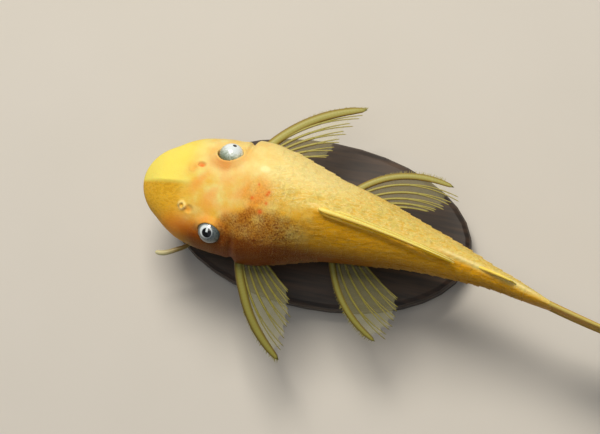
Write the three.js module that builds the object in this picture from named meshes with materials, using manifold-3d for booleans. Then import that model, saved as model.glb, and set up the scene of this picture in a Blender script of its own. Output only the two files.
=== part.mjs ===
// A life-size still model of a golden bristlenose pleco, fins spread, held over an oval display stand.
// Millimetres, +Z up. The head points to -X and the fish's right side is +Y.
// The origin is the centre of the underside of the stand's base.
import * as THREE from "three";
import { mergeVertices } from "three/addons/utils/BufferGeometryUtils.js";
import Module from "manifold-3d";

const wasm = await Module();
wasm.setup();

// Driving dimensions
const STANDARD_LENGTH = 84; // snout tip to the root of the tail fin
const PERCENT = STANDARD_LENGTH / 100; // fish proportions below are in percent of standard length
const GAP = 0.3; // left between any two nodes that touch
const NECK = 30; // in percent: the spine turns to the right ahead of it and to the left behind it
const HEAD_TURN_DEG = 7.5; // turn to the right between the neck and the snout
const TAIL_TURN_DEG = 16; // turn to the left between the neck and the root of the tail fin
const TAIL_FIN_TURN_DEG = 6; // turn back to the right along the tail fin

// Stand
const BASE_LENGTH = 66;
const BASE_WIDTH = 36;
const BASE_HEIGHT = 6;
const BASE_BEVEL = 1.2;
const ROD_RADIUS = 1.6;
const ROD_FOOT_RADIUS = 2.8;
const ROD_PAD_RADIUS = 2.6;
const ROD_LENGTH = 10;
const FRONT_ROD_AT = 31;
const REAR_ROD_AT = 58;
const BASE_CENTRE_AT = 44;
const BELLY_HEIGHT = BASE_HEIGHT + ROD_LENGTH + 2 * GAP;

// Where the body is parted into nodes, in percent of standard length
const HEAD_END = 26; // at the gill openings
const TRUNK_END = 67;
const TAIL_END = 107; // the scaly base of the tail fin runs on past the end of the plates

// Body outline as [station, value] pairs, in percent of standard length
const HALF_WIDTH = [
  [0, 0], [2, 5.8], [4, 7.9], [6, 9.3], [9, 11.4], [12, 12.9], [15, 13.7], [18, 14.2], [22, 14.5],
  [25.4, 14.5], [27.6, 15.6], [31, 15.5], [36, 14.4], [42, 12.5], [48, 10.7], [54, 9.6], [60, 8.5],
  [66, 7.05], [72, 5.8], [78, 4.8], [84, 3.85], [90, 2.75], [95, 2.2], [100, 1.8], [104, 1.25], [107, 0.85],
];
const BACK_HEIGHT = [
  [0, 3], [1.5, 5.6], [4, 7.9], [8, 10.2], [14, 12.6], [21, 14.8], [30, 17.4], [38, 19.2],
  [45, 20], [52, 19.1], [60, 17.4], [70, 15.2], [80, 13.4], [90, 12.4], [100, 12.4], [107, 12.7],
];
const BELLY_LEVEL = [
  [0, 3], [1.5, 1.2], [4, 0.4], [8, 0], [50, 0], [60, 0.4], [70, 1.2], [80, 1.8], [100, 1.6], [107, 1.2],
];
const WIDEST_LEVEL = [
  [0, 3], [6, 3.2], [12, 3.6], [24, 4.2], [36, 4.6], [50, 4.8], [65, 5.2], [80, 6], [100, 7], [107, 7],
];
const ARCH_POWER = [
  [0, 2], [10, 2.1], [24, 2.25], [36, 1.95], [46, 1.75], [66, 1.85], [85, 2.1], [100, 2.2], [107, 3],
];
const UNDERSIDE_POWER = [[0, 2], [6, 3], [20, 3.6], [55, 3.4], [75, 2.5], [100, 2.2], [107, 3]];

// Body plates: five rows a side, each plate rising to its rear edge like a shingle
const PLATES_START = 31;
const PLATES_END = 100;
const PLATE_COUNT = 24;
const PLATE_PITCH = (PLATES_END - PLATES_START) / PLATE_COUNT;
const PLATE_LIFT = 0.36; // mm at a plate's rear edge
const PLATE_STEP = 0.08; // share of the pitch in which the next plate starts
const PLATE_BULGE = 0.5; // how far a rear edge bows backwards at its middle, in pitches
const ROW_SEAMS_DEG = [90, 68, 46, 24, -2, -38]; // from the back's midline down to the belly's edge
const COLUMNS_PER_ROW = 3;
const BELLY_COLUMNS = 6;

// Dorsal fin, folded back along the midline into a narrow blade. The pairs hold a share of its length
// from root to tip, and millimetres.
const DORSAL_FROM = 46.3;
const DORSAL_TO = 81.8;
const DORSAL_LEAN = 1.1; // how far the tip leans to the fish's left, in percent
const DORSAL_HEIGHT = [[0, 0.35], [0.05, 0.95], [0.2, 1.4], [0.6, 1.5], [0.85, 1], [1, 0.3]];
const DORSAL_HALF_WIDTH = [[0, 0.4], [0.05, 0.75], [0.4, 0.7], [0.8, 0.45], [1, 0.2]];
const DORSAL_CLEARANCE = [[0, GAP], [0.64, GAP], [1, 1.6]]; // from the skin up to its lower edge
const DORSAL_FLANK = [ // level and width, both as shares
  [0, 0.75], [0.2, 1], [0.34, 0.72], [0.52, 1], [0.66, 0.7], [0.84, 0.95],
];
const DORSAL_STEPS = 15;

// Tail fin: stout outer rays, a shallow notch between its lobes and the lower lobe a little longer
const CAUDAL_LENGTH = 31;
const CAUDAL_RAYS = 15;
const CAUDAL_ROOT_LEVELS = [12.3, 1.6];
const CAUDAL_TIP_LEVELS = [15.6, -3.2];
const CAUDAL_LEAN = 0.5; // how far the upper tip leans to the fish's left, and the lower one to its right
const CAUDAL_TOP_LENGTH = 27;
const CAUDAL_NOTCH = 0.12; // depth of the notch as a share of the fin's height

// Head details, in percent of standard length unless they say mm
const EYES_AT = { right: [21.1, 9.8], left: [20.45, 10.35] };
const EYE_RADIUS = 2.8; // mm
const EYE_SINK = 0.95; // mm from the skin down to the eye's centre
const ORBIT_RIM_LIFT = 0.8; // mm, on the side of the midline
const NOSTRILS_AT = { right: [14.5, 5.5], left: [14.3, 6] };
const NOSTRIL_TUBES_AT = { right: [12.6, 4.4], left: [12.4, 5.5] };
const NOSTRIL_RADIUS = 0.8; // mm
const NOSTRIL_RIM = 0.25; // mm, radius of the lip round it
const NOSTRIL_TUBE = [0.7, 1, 0.9]; // mm: radius at its top and its root, and height
const GILL_GROOVE_DEPTH = { right: 0.5, left: 0.3 }; // mm
const GILL_GROOVE_SPREAD = 0.8;
const SNOUT_RIDGE_LIFT = 0.6; // mm
const SNOUT_RIDGE_SLANT = 0.15; // the ridge crosses from the left of the midline to its right
const SNOUT_RIDGE_AT = 7.5;
const SNOUT_RIDGE_HALF_WIDTH = 2.4;
const MOUTH_AT = 11;
const DISC_HALF_LENGTH = 7;
const DISC_HALF_WIDTH = 9;
const DISC_DEPTH = 1.4; // mm
const MOUTH_HALF_WIDTH = 3.2; // mm
const MOUTH_HALF_GAPE = 1.1; // mm
const MOUTH_HEIGHT = 1.6; // mm, of the hollow in the head

const rad = THREE.MathUtils.degToRad;
const lerp = THREE.MathUtils.lerp;
const smoothstep = THREE.MathUtils.smoothstep;
const vec = (x, y, z) => new THREE.Vector3(x, y, z);

// A smooth curve through [station, value] pairs that doesn't overshoot. It runs on the root of the
// station, so that a value that starts from nothing at the snout gives a round nose.
function profile(pairs) {
  const q = pairs.map(([s]) => Math.sqrt(s));
  const v = pairs.map(([, value]) => value);
  const slope = q.slice(1).map((next, i) => (v[i + 1] - v[i]) / (next - q[i]));
  const tangent = v.map((_, i) => {
    if (i === 0) return slope[0];
    if (i === v.length - 1) return slope[i - 1];
    const [a, b] = [slope[i - 1], slope[i]];
    return a * b <= 0 ? 0 : (2 * a * b) / (a + b);
  });
  return (station) => {
    const at = Math.sqrt(Math.min(Math.max(station, 0), pairs.at(-1)[0]));
    let i = 0;
    while (i < q.length - 2 && at > q[i + 1]) i++;
    const step = q[i + 1] - q[i];
    const t = (at - q[i]) / step;
    const rise = t * t * (3 - 2 * t);
    return (
      v[i] * (1 - rise) + v[i + 1] * rise +
      step * (tangent[i] * t * (1 - t) ** 2 - tangent[i + 1] * t * t * (1 - t))
    );
  };
}

const halfWidth = profile(HALF_WIDTH);
const backHeight = profile(BACK_HEIGHT);
const bellyLevel = profile(BELLY_LEVEL);
const widestLevel = profile(WIDEST_LEVEL);
const archPower = profile(ARCH_POWER);
const undersidePower = profile(UNDERSIDE_POWER);

// The plain body surface at a station and an angle round it, 0 at the right side and 90 on the back.
// lift moves the point out of the surface, in millimetres.
function bodyPoint(station, angleDeg, lift = 0) {
  const c = Math.cos(rad(angleDeg));
  const s = Math.sin(rad(angleDeg));
  const width = halfWidth(station);
  const level = widestLevel(station);
  const reach = s >= 0 ? backHeight(station) - level : level - bellyLevel(station);
  const power = s >= 0 ? archPower(station) : undersidePower(station);
  const y = Math.sign(c) * width * Math.abs(c) ** (2 / power);
  const z = Math.sign(s) * reach * Math.abs(s) ** (2 / power);
  const ny = Math.sign(y) * Math.abs(y / (width || 1)) ** (power - 1) * reach;
  const nz = Math.sign(z) * Math.abs(z / (reach || 1)) ** (power - 1) * width;
  const n = Math.hypot(ny, nz) || 1;
  return vec(station * PERCENT, y * PERCENT + (lift * ny) / n, (z + level) * PERCENT + (lift * nz) / n);
}

// Height of the skin over the base plane at a place on the back, seen from above
function skinHeight(station, y) {
  const level = widestLevel(station);
  const inside = 1 - Math.abs(y / halfWidth(station)) ** archPower(station);
  return (level + (backHeight(station) - level) * Math.max(inside, 0) ** (1 / archPower(station))) * PERCENT;
}

// Columns round the body by angle: from the back's midline down the right side, under the belly and up the
// left side. Each knows its plate row, counted down from the back, and its place across it, 0 at a seam.
const ROW_COUNT = ROW_SEAMS_DEG.length - 1;
const BELLY_EDGE = ROW_SEAMS_DEG[ROW_COUNT];
const mirrored = (angle) => -180 - angle;
const columns = [];
for (let row = 0; row < ROW_COUNT; row++) {
  for (let k = 0; k < COLUMNS_PER_ROW; k++) {
    const across = k / COLUMNS_PER_ROW;
    columns.push({ angle: lerp(ROW_SEAMS_DEG[row], ROW_SEAMS_DEG[row + 1], across), across, row });
  }
}
const rightSide = [...columns];
for (let k = 0; k < BELLY_COLUMNS; k++) {
  columns.push({ angle: lerp(BELLY_EDGE, mirrored(BELLY_EDGE), k / BELLY_COLUMNS), across: 0, row: -1 });
}
columns.push({ angle: mirrored(BELLY_EDGE), across: 0, row: ROW_COUNT - 1 });
for (const { angle, across, row } of rightSide.slice(1).reverse()) {
  columns.push({ angle: mirrored(angle), across, row });
}

// 1 over the middle of a plate row and 0 at its seams
const crown = (column) => (column.row < 0 ? 0 : Math.min(1, 4 * column.across * (1 - column.across)));

// 0 where a fin grows, so that its root meets smooth skin, and 1 away from every fin
const PECTORAL_AT = 31;
const PELVIC_AT = 55;
function clearOfFins(station, angleDeg) {
  const fromBack = Math.min(Math.abs(angleDeg - 90), Math.abs(angleDeg + 270));
  const dorsal = station > DORSAL_FROM - 2 && station < DORSAL_TO + 2 ? smoothstep(fromBack, 6, 16) : 1;
  const sideways = Math.min(Math.abs(angleDeg), Math.abs(angleDeg + 180));
  const pectoral = smoothstep(Math.abs(station - PECTORAL_AT), 5, 8);
  const pelvic = smoothstep(Math.abs(station - PELVIC_AT), 7, 9);
  const low = smoothstep(sideways, 16, 30);
  return dorsal * Math.max(low, Math.min(pectoral, pelvic));
}

function groove(station, angleDeg) {
  const side = Math.cos(rad(angleDeg)) > 0 ? "right" : "left";
  const sideways = Math.min(Math.abs(angleDeg), Math.abs(angleDeg + 180));
  const along = Math.exp(-(((station - HEAD_END) / GILL_GROOVE_SPREAD) ** 2));
  return -GILL_GROOVE_DEPTH[side] * along * (1 - smoothstep(sideways, 34, 58));
}

// Lift of the head's skin over the plain body in mm: orbit rims, the ridge of the snout and the gill openings
function headRelief(station, angleDeg) {
  const p = bodyPoint(station, angleDeg).divideScalar(PERCENT);
  const onTop = smoothstep(Math.sin(rad(angleDeg)), 0, 0.3);
  const [eyeStation, eyeAside] = p.y > 0 ? EYES_AT.right : EYES_AT.left;
  const fromEye = Math.hypot(p.x - eyeStation, Math.abs(p.y) - eyeAside) * PERCENT;
  const inwards = 1 - smoothstep(Math.abs(p.y), eyeAside - 2, eyeAside + 1);
  const rim = ORBIT_RIM_LIFT * inwards * Math.exp(-(((fromEye - EYE_RADIUS) / 1.6) ** 2));
  const fromRidge = p.y - SNOUT_RIDGE_SLANT * (station - SNOUT_RIDGE_AT);
  const along = Math.exp(-(((station - SNOUT_RIDGE_AT) / 5) ** 2));
  const ridge = SNOUT_RIDGE_LIFT * Math.exp(-((fromRidge / SNOUT_RIDGE_HALF_WIDTH) ** 2)) * along;
  return onTop * (rim + ridge) + groove(station, angleDeg);
}

// Rings of the lofted body. Each has a base station, the share of a plate's height that it carries
// and how much of the plate rows' bow it follows.
function plateRings(from, to) {
  const rings = [{ station: from, share: 0, bow: 0 }];
  for (let i = 0; i < PLATE_COUNT; i++) {
    const start = PLATES_START + i * PLATE_PITCH;
    for (const [at, share] of [[PLATE_STEP, 0], [1, 1]]) {
      const station = start + at * PLATE_PITCH;
      if (station < from + 1.2 || station > to - 1.2) continue;
      const bow = Math.min(smoothstep(station, from + 1, from + 5), 1 - smoothstep(station, to - 5, to - 1));
      rings.push({ station, share, bow });
    }
  }
  rings.push({ station: to, share: 0, bow: 0 });
  return rings;
}

const plainRings = (stations) => stations.map((station) => ({ station, share: 0, bow: 0 }));

// A point of the finished body on a ring and a column. extra is a further lift, for cutting tools.
function platedPoint(ring, column, extra = 0) {
  const bow = ring.bow * PLATE_PITCH * (PLATE_BULGE * crown(column) + (column.row % 2 === 1 ? 0.35 : 0));
  const station = ring.station + bow - ring.bow * PLATE_PITCH * 0.4;
  const plate = PLATE_LIFT * ring.share * crown(column) * clearOfFins(station, column.angle);
  const relief = station < HEAD_END + 4 ? headRelief(station, column.angle) : 0;
  return bodyPoint(station, column.angle, plate + relief + extra);
}

// Closed skin over rings of points, each end drawn to a pole or closed flat
function loft(rings, startPole, endPole) {
  const n = rings[0].length;
  const points = [];
  const faces = [];
  for (const ring of rings) for (const p of ring) points.push(p.x, p.y, p.z);
  for (let r = 0; r + 1 < rings.length; r++) {
    for (let k = 0; k < n; k++) {
      const a = r * n + k;
      const b = r * n + ((k + 1) % n);
      faces.push(a, b, a + n, b, b + n, a + n);
    }
  }
  const capped = [[0, startPole, true], [rings.length - 1, endPole, false]];
  for (const [r, pole, first] of capped) {
    const middle = pole ?? rings[r].reduce((sum, p) => sum.add(p), vec(0, 0, 0)).divideScalar(n);
    const centre = points.length / 3;
    points.push(middle.x, middle.y, middle.z);
    for (let k = 0; k < n; k++) {
      const a = r * n + k;
      const b = r * n + ((k + 1) % n);
      faces.push(...(first ? [centre, b, a] : [centre, a, b]));
    }
  }
  return manifoldFrom(new Float32Array(points), new Uint32Array(faces));
}

function manifoldFrom(vertProperties, triVerts) {
  const made = new wasm.Manifold(new wasm.Mesh({ numProp: 3, vertProperties, triVerts }));
  if (made.volume() > 0) return made;
  const turned = Uint32Array.from(triVerts);
  for (let i = 0; i < turned.length; i += 3) {
    [turned[i + 1], turned[i + 2]] = [turned[i + 2], turned[i + 1]];
  }
  return new wasm.Manifold(new wasm.Mesh({ numProp: 3, vertProperties, triVerts: turned }));
}

function solidOf(geometry) {
  const bare = geometry.clone();
  bare.deleteAttribute("normal");
  bare.deleteAttribute("uv");
  const merged = mergeVertices(bare, 1e-4);
  return manifoldFrom(merged.attributes.position.array, new Uint32Array(merged.index.array));
}

const largest = (solid) =>
  solid.decompose().reduce((best, body) => (body.volume() > best.volume() ? body : best));

// The spine is three arcs, seen from above. arcFrom follows one of them for a length from its start.
function arcFrom(start, curvature, length) {
  const heading = start.heading + curvature * length;
  return {
    x: start.x + (Math.sin(heading) - Math.sin(start.heading)) / curvature,
    y: start.y + (Math.cos(heading) - Math.cos(start.heading)) / curvature,
    heading,
  };
}
const HEAD_CURVE = -rad(HEAD_TURN_DEG) / (NECK * PERCENT);
const TAIL_CURVE = rad(TAIL_TURN_DEG) / ((100 - NECK) * PERCENT);
const TAIL_FIN_CURVE = -rad(TAIL_FIN_TURN_DEG) / (CAUDAL_LENGTH * PERCENT);
const NECK_POINT = { x: (NECK - BASE_CENTRE_AT) * PERCENT, y: 0, heading: 0 };
const TAIL_ROOT = arcFrom(NECK_POINT, TAIL_CURVE, (100 - NECK) * PERCENT);

// Straight body space to the frame of the part: along the spine, and up over the stand
function place(p) {
  const fromNeck = p.x - NECK * PERCENT;
  const fromRoot = p.x - STANDARD_LENGTH;
  const ahead = fromNeck < 0 ? HEAD_CURVE : TAIL_CURVE;
  const spine =
    fromRoot > 0 ? arcFrom(TAIL_ROOT, TAIL_FIN_CURVE, fromRoot) : arcFrom(NECK_POINT, ahead, fromNeck);
  return vec(
    spine.x + p.y * Math.sin(spine.heading),
    spine.y + p.y * Math.cos(spine.heading),
    p.z + BELLY_HEIGHT,
  );
}

const pleco = new THREE.Group();

const finish = (color, roughness, metalness = 0) =>
  new THREE.MeshStandardMaterial({ color, roughness, metalness });
const SKIN = finish(0xe6b84c, 0.45);
const FIN = finish(0xc9b874, 0.5);
const EYE = finish(0x9fb4b8, 0.15);
const LIP = finish(0xe8c99a, 0.5);
const WOOD = finish(0x2a2018, 0.4);
const STEEL = finish(0xb8bcc0, 0.3, 1);

// Adds a solid as a node. A solid of straight body space is bent and set over the stand first.
function addNode(name, solid, material, placed = false) {
  const mesh = solid.getMesh();
  const positions = new Float32Array(mesh.numVert * 3);
  for (let i = 0; i < mesh.numVert; i++) {
    const at = i * mesh.numProp;
    const p = vec(mesh.vertProperties[at], mesh.vertProperties[at + 1], mesh.vertProperties[at + 2]);
    (placed ? p : place(p)).toArray(positions, i * 3);
  }
  const geometry = new THREE.BufferGeometry();
  geometry.setAttribute("position", new THREE.BufferAttribute(positions, 3));
  geometry.setIndex(new THREE.BufferAttribute(Uint32Array.from(mesh.triVerts), 1));
  geometry.computeVertexNormals();
  const node = new THREE.Mesh(geometry, material);
  node.name = name;
  pleco.add(node);
}

// Body lofts
const HALF_GAP = GAP / 2 / PERCENT;
const HEAD_STATIONS = [0.15, 0.7, 1.6, 3, 5, 7.2, 9.5, 11.7, 13.8, 16, 18.3, 20.9, 23.2, 24.4, 25.2];
const SHOULDER_STATIONS = [26.8, 27.8, 29.3, 30.8];
const headRings = plainRings([...HEAD_STATIONS, HEAD_END - HALF_GAP]);
const plated = plateRings(30.8, TRUNK_END - HALF_GAP).slice(1);
const trunkRings = [...plainRings([HEAD_END + HALF_GAP, ...SHOULDER_STATIONS]), ...plated];
const SCALY_BASE_STATIONS = [101.5, 103, 105, TAIL_END];
const tailRings = [...plateRings(TRUNK_END + HALF_GAP, PLATES_END), ...plainRings(SCALY_BASE_STATIONS)];
const ringPoints = (rings, extra) => rings.map((r) => columns.map((c) => platedPoint(r, c, extra)));
const snoutTip = vec(0, 0, widestLevel(0) * PERCENT);

// The whole body swollen by the gap, which trims whatever grows from it
const cutterRings = [...headRings, ...trunkRings, ...tailRings];
const bodyCutter = loft(ringPoints(cutterRings, GAP), vec(-GAP, 0, snoutTip.z), null);

// Head: eye sockets, nostrils and the mouth are cut into the loft
function aimed(geometry, position, direction) {
  const turn = new THREE.Quaternion().setFromUnitVectors(vec(0, 0, 1), direction.clone().normalize());
  return solidOf(geometry.applyQuaternion(turn).translate(position.x, position.y, position.z));
}

// A place on the back, sunk below the skin by some millimetres, and the direction of the skin there
function onBack([station, y], side, sink) {
  const at = (s, w) => vec(s * PERCENT, side * w * PERCENT, skinHeight(s, w));
  const along = at(station + 1, y).sub(at(station - 1, y));
  const outwards = at(station, y + 1).sub(at(station, y - 1));
  const normal = along.cross(outwards).normalize();
  if (normal.z < 0) normal.negate();
  return { point: at(station, y).addScaledVector(normal, -sink), normal };
}

const ball = (radius, point, around = 16, rows = 10) =>
  aimed(new THREE.SphereGeometry(radius, around, rows).rotateX(Math.PI / 2), point, vec(0, 0, 1));

let head = loft(ringPoints(headRings, 0), snoutTip, null);
const eyes = {};
for (const [name, side] of [["right", 1], ["left", -1]]) {
  const eye = onBack(EYES_AT[name], side, EYE_SINK);
  eyes[name] = ball(EYE_RADIUS, eye.point);
  head = head.subtract(ball(EYE_RADIUS + GAP, eye.point));
  const nostril = onBack(NOSTRILS_AT[name], side, 0);
  const rim = new THREE.TorusGeometry(NOSTRIL_RADIUS, NOSTRIL_RIM, 6, 12);
  head = head.add(aimed(rim, nostril.point, nostril.normal));
  head = head.subtract(ball(NOSTRIL_RADIUS, nostril.point, 10, 6));
  const root = onBack(NOSTRIL_TUBES_AT[name], side, 0);
  const tube = new THREE.CylinderGeometry(...NOSTRIL_TUBE, 10).rotateX(Math.PI / 2);
  head = head.add(aimed(tube, root.point, root.normal));
}
const mouthHollow = new THREE.SphereGeometry(1, 16, 8)
  .scale(MOUTH_HALF_GAPE, MOUTH_HALF_WIDTH, MOUTH_HEIGHT)
  .translate(MOUTH_AT * PERCENT, 0, 0);
head = head.subtract(solidOf(mouthHollow));
addNode("head", largest(head), SKIN);
for (const name of ["right", "left"]) addNode(`eye_${name}`, eyes[name], EYE);

addNode("trunk", loft(ringPoints(trunkRings, 0), null, null), SKIN);
addNode("tail", loft(ringPoints(tailRings, 0), null, null), SKIN);

// Sucker mouth: a round lip disc under the snout with the mouth's slot across it
const DISC_PROFILE = [ // share of the disc's radius, and mm below the head
  [0, -GAP], [1, -GAP], [1.04, -0.75], [0.93, -DISC_DEPTH - GAP],
  [0.74, -DISC_DEPTH - 0.15], [0.5, -1], [0, -1],
];
const profilePoints = (pairs) => pairs.map(([r, z]) => new THREE.Vector2(r, z));
const disc = new THREE.LatheGeometry(profilePoints(DISC_PROFILE), 28)
  .rotateX(Math.PI / 2)
  .scale(DISC_HALF_LENGTH * PERCENT, DISC_HALF_WIDTH * PERCENT, 1)
  .translate(MOUTH_AT * PERCENT, 0, 0);
const slot = new THREE.SphereGeometry(1, 16, 8)
  .scale(MOUTH_HALF_GAPE, MOUTH_HALF_WIDTH, DISC_DEPTH + 1)
  .translate(MOUTH_AT * PERCENT, 0, 0);
addNode("sucker_mouth", largest(solidOf(disc).subtract(solidOf(slot)).subtract(bodyCutter)), LIP);

// A tapered tube with rounded ends along a curve
function taperedTube(curve, startRadius, endRadius, sides = 8, steps = 10) {
  const rings = [];
  for (let i = 0; i <= steps; i++) {
    const t = i / steps;
    const ease = Math.min(1, Math.sqrt(1 - Math.max(0, (t - 0.9) / 0.115) ** 2));
    const radius = lerp(startRadius, endRadius, t) * ease;
    const centre = curve.getPointAt(t);
    const forward = curve.getTangentAt(t);
    const side = vec(0, 0, 1).cross(forward).normalize();
    const up = forward.clone().cross(side);
    const ring = [];
    for (let k = 0; k < sides; k++) {
      const a = (2 * Math.PI * k) / sides;
      const out = side.clone().multiplyScalar(Math.cos(a)).addScaledVector(up, Math.sin(a));
      ring.push(centre.clone().addScaledVector(out, radius));
    }
    rings.push(ring);
  }
  return loft(rings, null, null);
}

const percentPoint = ([s, y, z]) => vec(s * PERCENT, y * PERCENT, z * PERCENT);

// Barbels at the corners of the mouth. The left one curls out past the cheek, and the right one
// stays tucked under the head.
const BARBEL_RADIUS = [0.55, 0.55];
const BARBELS = {
  left: [
    [13.5, -9.25, -0.9], [15, -11.2, -1], [14.6, -13.6, -0.4],
    [12.2, -15.6, 0], [9.8, -17.1, 0], [7.7, -17.5, 0],
  ],
  right: [[13.5, 9.25, -0.9], [14.4, 10.9, -1.1], [12.8, 12.2, -1.2], [10, 11.4, -1.2], [7.6, 10.2, -1.1]],
};
for (const [name, route] of Object.entries(BARBELS)) {
  const curve = new THREE.CatmullRomCurve3(route.map(percentPoint));
  const barbel = taperedTube(curve, ...BARBEL_RADIUS);
  addNode(`barbel_${name}`, largest(barbel.subtract(bodyCutter)), LIP);
}

// Fins. A fin is a fan of rays from a base line to a trailing edge, with a stout spine in front.
// Places are [station, y, z] in percent of standard length. spineBow and lastBow push a ray's middle
// towards the leading side, and edgeBulge pushes the trailing edge outwards, as shares of their length.
const MEMBRANE = 0.25; // half thickness, mm
const RAY_HALF_WIDTH = 0.3;
const SPINE_HALF_WIDTH = 0.5;
const PECTORAL = { rays: 6, steps: 8, spine: [0.62, 0.42], ray: [0.48, 0.34] };
const PELVIC = { rays: 5, steps: 8, spine: [0.55, 0.38], ray: [0.45, 0.33] };
const FINS = {
  pectoral_fin_right: {
    ...PECTORAL, base: [[27.2, 12.6, 3.9], [34, 12.8, 3.5]], tips: [[49.4, 29.9, 1.2], [43.6, 15.4, 2.8]],
    spineBow: 0.085, lastBow: 0.02, edgeBulge: -0.02, lead: [-1, 1, 0],
  },
  pectoral_fin_left: {
    ...PECTORAL,
    base: [[27, -12.6, 3.9], [33.4, -12.8, 3.5]],
    tips: [[44.4, -36.9, 1.2], [42.2, -19.4, 2.8]],
    spineBow: 0.125, lastBow: 0.03, edgeBulge: 0.09, lead: [-1, -1, 0],
  },
  pelvic_fin_right: {
    ...PELVIC, base: [[50.2, 7.2, 2], [58.6, 6.6, 1.8]], tips: [[73.8, 18, 0.3], [69.9, 9.8, 1.1]],
    spineBow: 0.14, lastBow: 0.05, edgeBulge: 0.28, lead: [-1, 1, 0],
  },
  pelvic_fin_left: {
    ...PELVIC, base: [[50.2, -7.2, 2], [57.6, -6.6, 1.8]], tips: [[68.9, -25.2, 0.3], [70.8, -13.2, 1.1]],
    spineBow: 0.135, lastBow: 0.04, edgeBulge: 0.2, lead: [-1, -1, 0],
  },
  adipose_fin: {
    rays: 1, steps: 6, spine: [0.5, 0.34], ray: [0.28, 0.25],
    base: [[86.2, 0.5, 11.4], [94.5, 0.5, 11.4]], tips: [[96.6, 0.6, 14.5], [97.4, 0.6, 12.9]],
    spineBow: 0.08, lastBow: 0, edgeBulge: 0, lead: [-0.3, 0, 1],
  },
  anal_fin: {
    rays: 4, steps: 6, spine: [0.42, 0.3], ray: [0.4, 0.3],
    base: [[68.8, 0, 2.6], [74.2, 0, 3]], tips: [[79.4, 0, -5.6], [82.2, 0, -1.6]],
    spineBow: 0.08, lastBow: 0.02, edgeBulge: 0.12, lead: [-0.4, 0, -1],
  },
};
const CAUDAL_ROOT_AT = TAIL_END + GAP / PERCENT;
const CAUDAL = {
  rays: CAUDAL_RAYS, steps: 8, spine: [0.52, 0.28], ray: [0.46, 0.26], width: 0.18, stoutLast: true,
  base: CAUDAL_ROOT_LEVELS.map((level) => [CAUDAL_ROOT_AT, 0, level]),
  tips: [
    [100 + CAUDAL_TOP_LENGTH, -CAUDAL_LEAN, CAUDAL_TIP_LEVELS[0]],
    [100 + CAUDAL_LENGTH, CAUDAL_LEAN, CAUDAL_TIP_LEVELS[1]],
  ],
  spineBow: 0.03, lastBow: -0.03, edgeBulge: -CAUDAL_NOTCH, lead: [0, 0, 1],
};

const quadratic = (a, b, c, t) =>
  a.clone().multiplyScalar((1 - t) ** 2).addScaledVector(b, 2 * t * (1 - t)).addScaledVector(c, t * t);

// Middle point of a bowed line: pushed square to the line, in the plane of the fin
function bowed(a, b, bow, lead) {
  const line = b.clone().sub(a);
  const aside = lead.clone().addScaledVector(line, -lead.dot(line) / line.lengthSq()).normalize();
  return a.clone().add(b).multiplyScalar(0.5).addScaledVector(aside, 2 * bow * line.length());
}

// Centre lines of a fin's rays, the spine first
function rayLines(fin) {
  const lead = vec(...fin.lead);
  const [baseFront, baseRear] = fin.base.map(percentPoint);
  const [tipFront, tipRear] = fin.tips.map(percentPoint);
  const outwards = tipFront.clone().add(tipRear).sub(baseFront).sub(baseRear).normalize();
  const edgeMiddle = bowed(tipFront, tipRear, fin.edgeBulge, outwards);
  const lines = [];
  for (let i = 0; i <= fin.rays; i++) {
    const t = i / fin.rays;
    const base = baseFront.clone().lerp(baseRear, t);
    const tip = quadratic(tipFront, edgeMiddle, tipRear, t);
    const middle = bowed(base, tip, lerp(fin.spineBow, fin.lastBow, t), lead);
    lines.push((u) => quadratic(base, middle, tip, u));
  }
  return lines;
}

// A closed fin: every ray is a ridge on both faces of one membrane, and both faces are split alike
function finSolid(fin) {
  const lines = rayLines(fin);
  const width = fin.width ?? RAY_HALF_WIDTH;
  const strips = [];
  lines.forEach((line, i) => {
    const stout = i === 0 || (fin.stoutLast && i === fin.rays);
    const [root, tip] = stout ? fin.spine : fin.ray;
    const wide = stout ? SPINE_HALF_WIDTH : width;
    for (const side of [-1, 0, 1]) strips.push({ line, i, side, wide, root, tip });
  });
  const normalAt = (i, u) => {
    const near = lines[Math.max(i - 1, 0)](u);
    const far = lines[Math.min(i + 1, lines.length - 1)](u);
    const ahead = lines[i](Math.min(u + 0.02, 1)).sub(lines[i](Math.max(u - 0.02, 0)));
    return ahead.cross(far.sub(near)).normalize();
  };
  const faces = [[], []];
  for (let r = 0; r <= fin.steps; r++) {
    const u = r / fin.steps;
    for (const { line, i, side, wide, root, tip } of strips) {
      const normal = normalAt(i, u);
      const ahead = line(Math.min(u + 0.02, 1)).sub(line(Math.max(u - 0.02, 0))).normalize();
      const across = normal.clone().cross(ahead).normalize();
      const centre = line(side === 0 ? u : u * 0.985).addScaledVector(across, side * wide * (1 - 0.35 * u));
      const half = side === 0 ? lerp(root, tip, u) : MEMBRANE * (1 - 0.12 * u);
      faces[0].push(centre.clone().addScaledVector(normal, half));
      faces[1].push(centre.clone().addScaledVector(normal, -half));
    }
  }
  return sheetSolid(faces, strips.length, fin.steps + 1);
}

// Closes two grids of points, front and back, of the same layout into one body
function sheetSolid([front, back], across, along) {
  const points = [];
  for (const p of [...front, ...back]) points.push(p.x, p.y, p.z);
  const n = front.length;
  const faces = [];
  for (let r = 0; r + 1 < along; r++) {
    for (let k = 0; k + 1 < across; k++) {
      const a = r * across + k;
      const [b, c, d] = [a + 1, a + across, a + across + 1];
      faces.push(a, c, b, b, c, d);
      faces.push(a + n, b + n, c + n, b + n, d + n, c + n);
    }
  }
  const rim = [];
  for (let k = 0; k + 1 < across; k++) rim.push([k, k + 1]);
  for (let r = 0; r + 1 < along; r++) rim.push([r * across + across - 1, (r + 1) * across + across - 1]);
  for (let k = across - 1; k > 0; k--) rim.push([(along - 1) * across + k, (along - 1) * across + k - 1]);
  for (let r = along - 1; r > 0; r--) rim.push([r * across, (r - 1) * across]);
  for (const [a, b] of rim) faces.push(a, b, b + n, a, b + n, a + n);
  return manifoldFrom(new Float32Array(points), new Uint32Array(faces));
}

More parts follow.
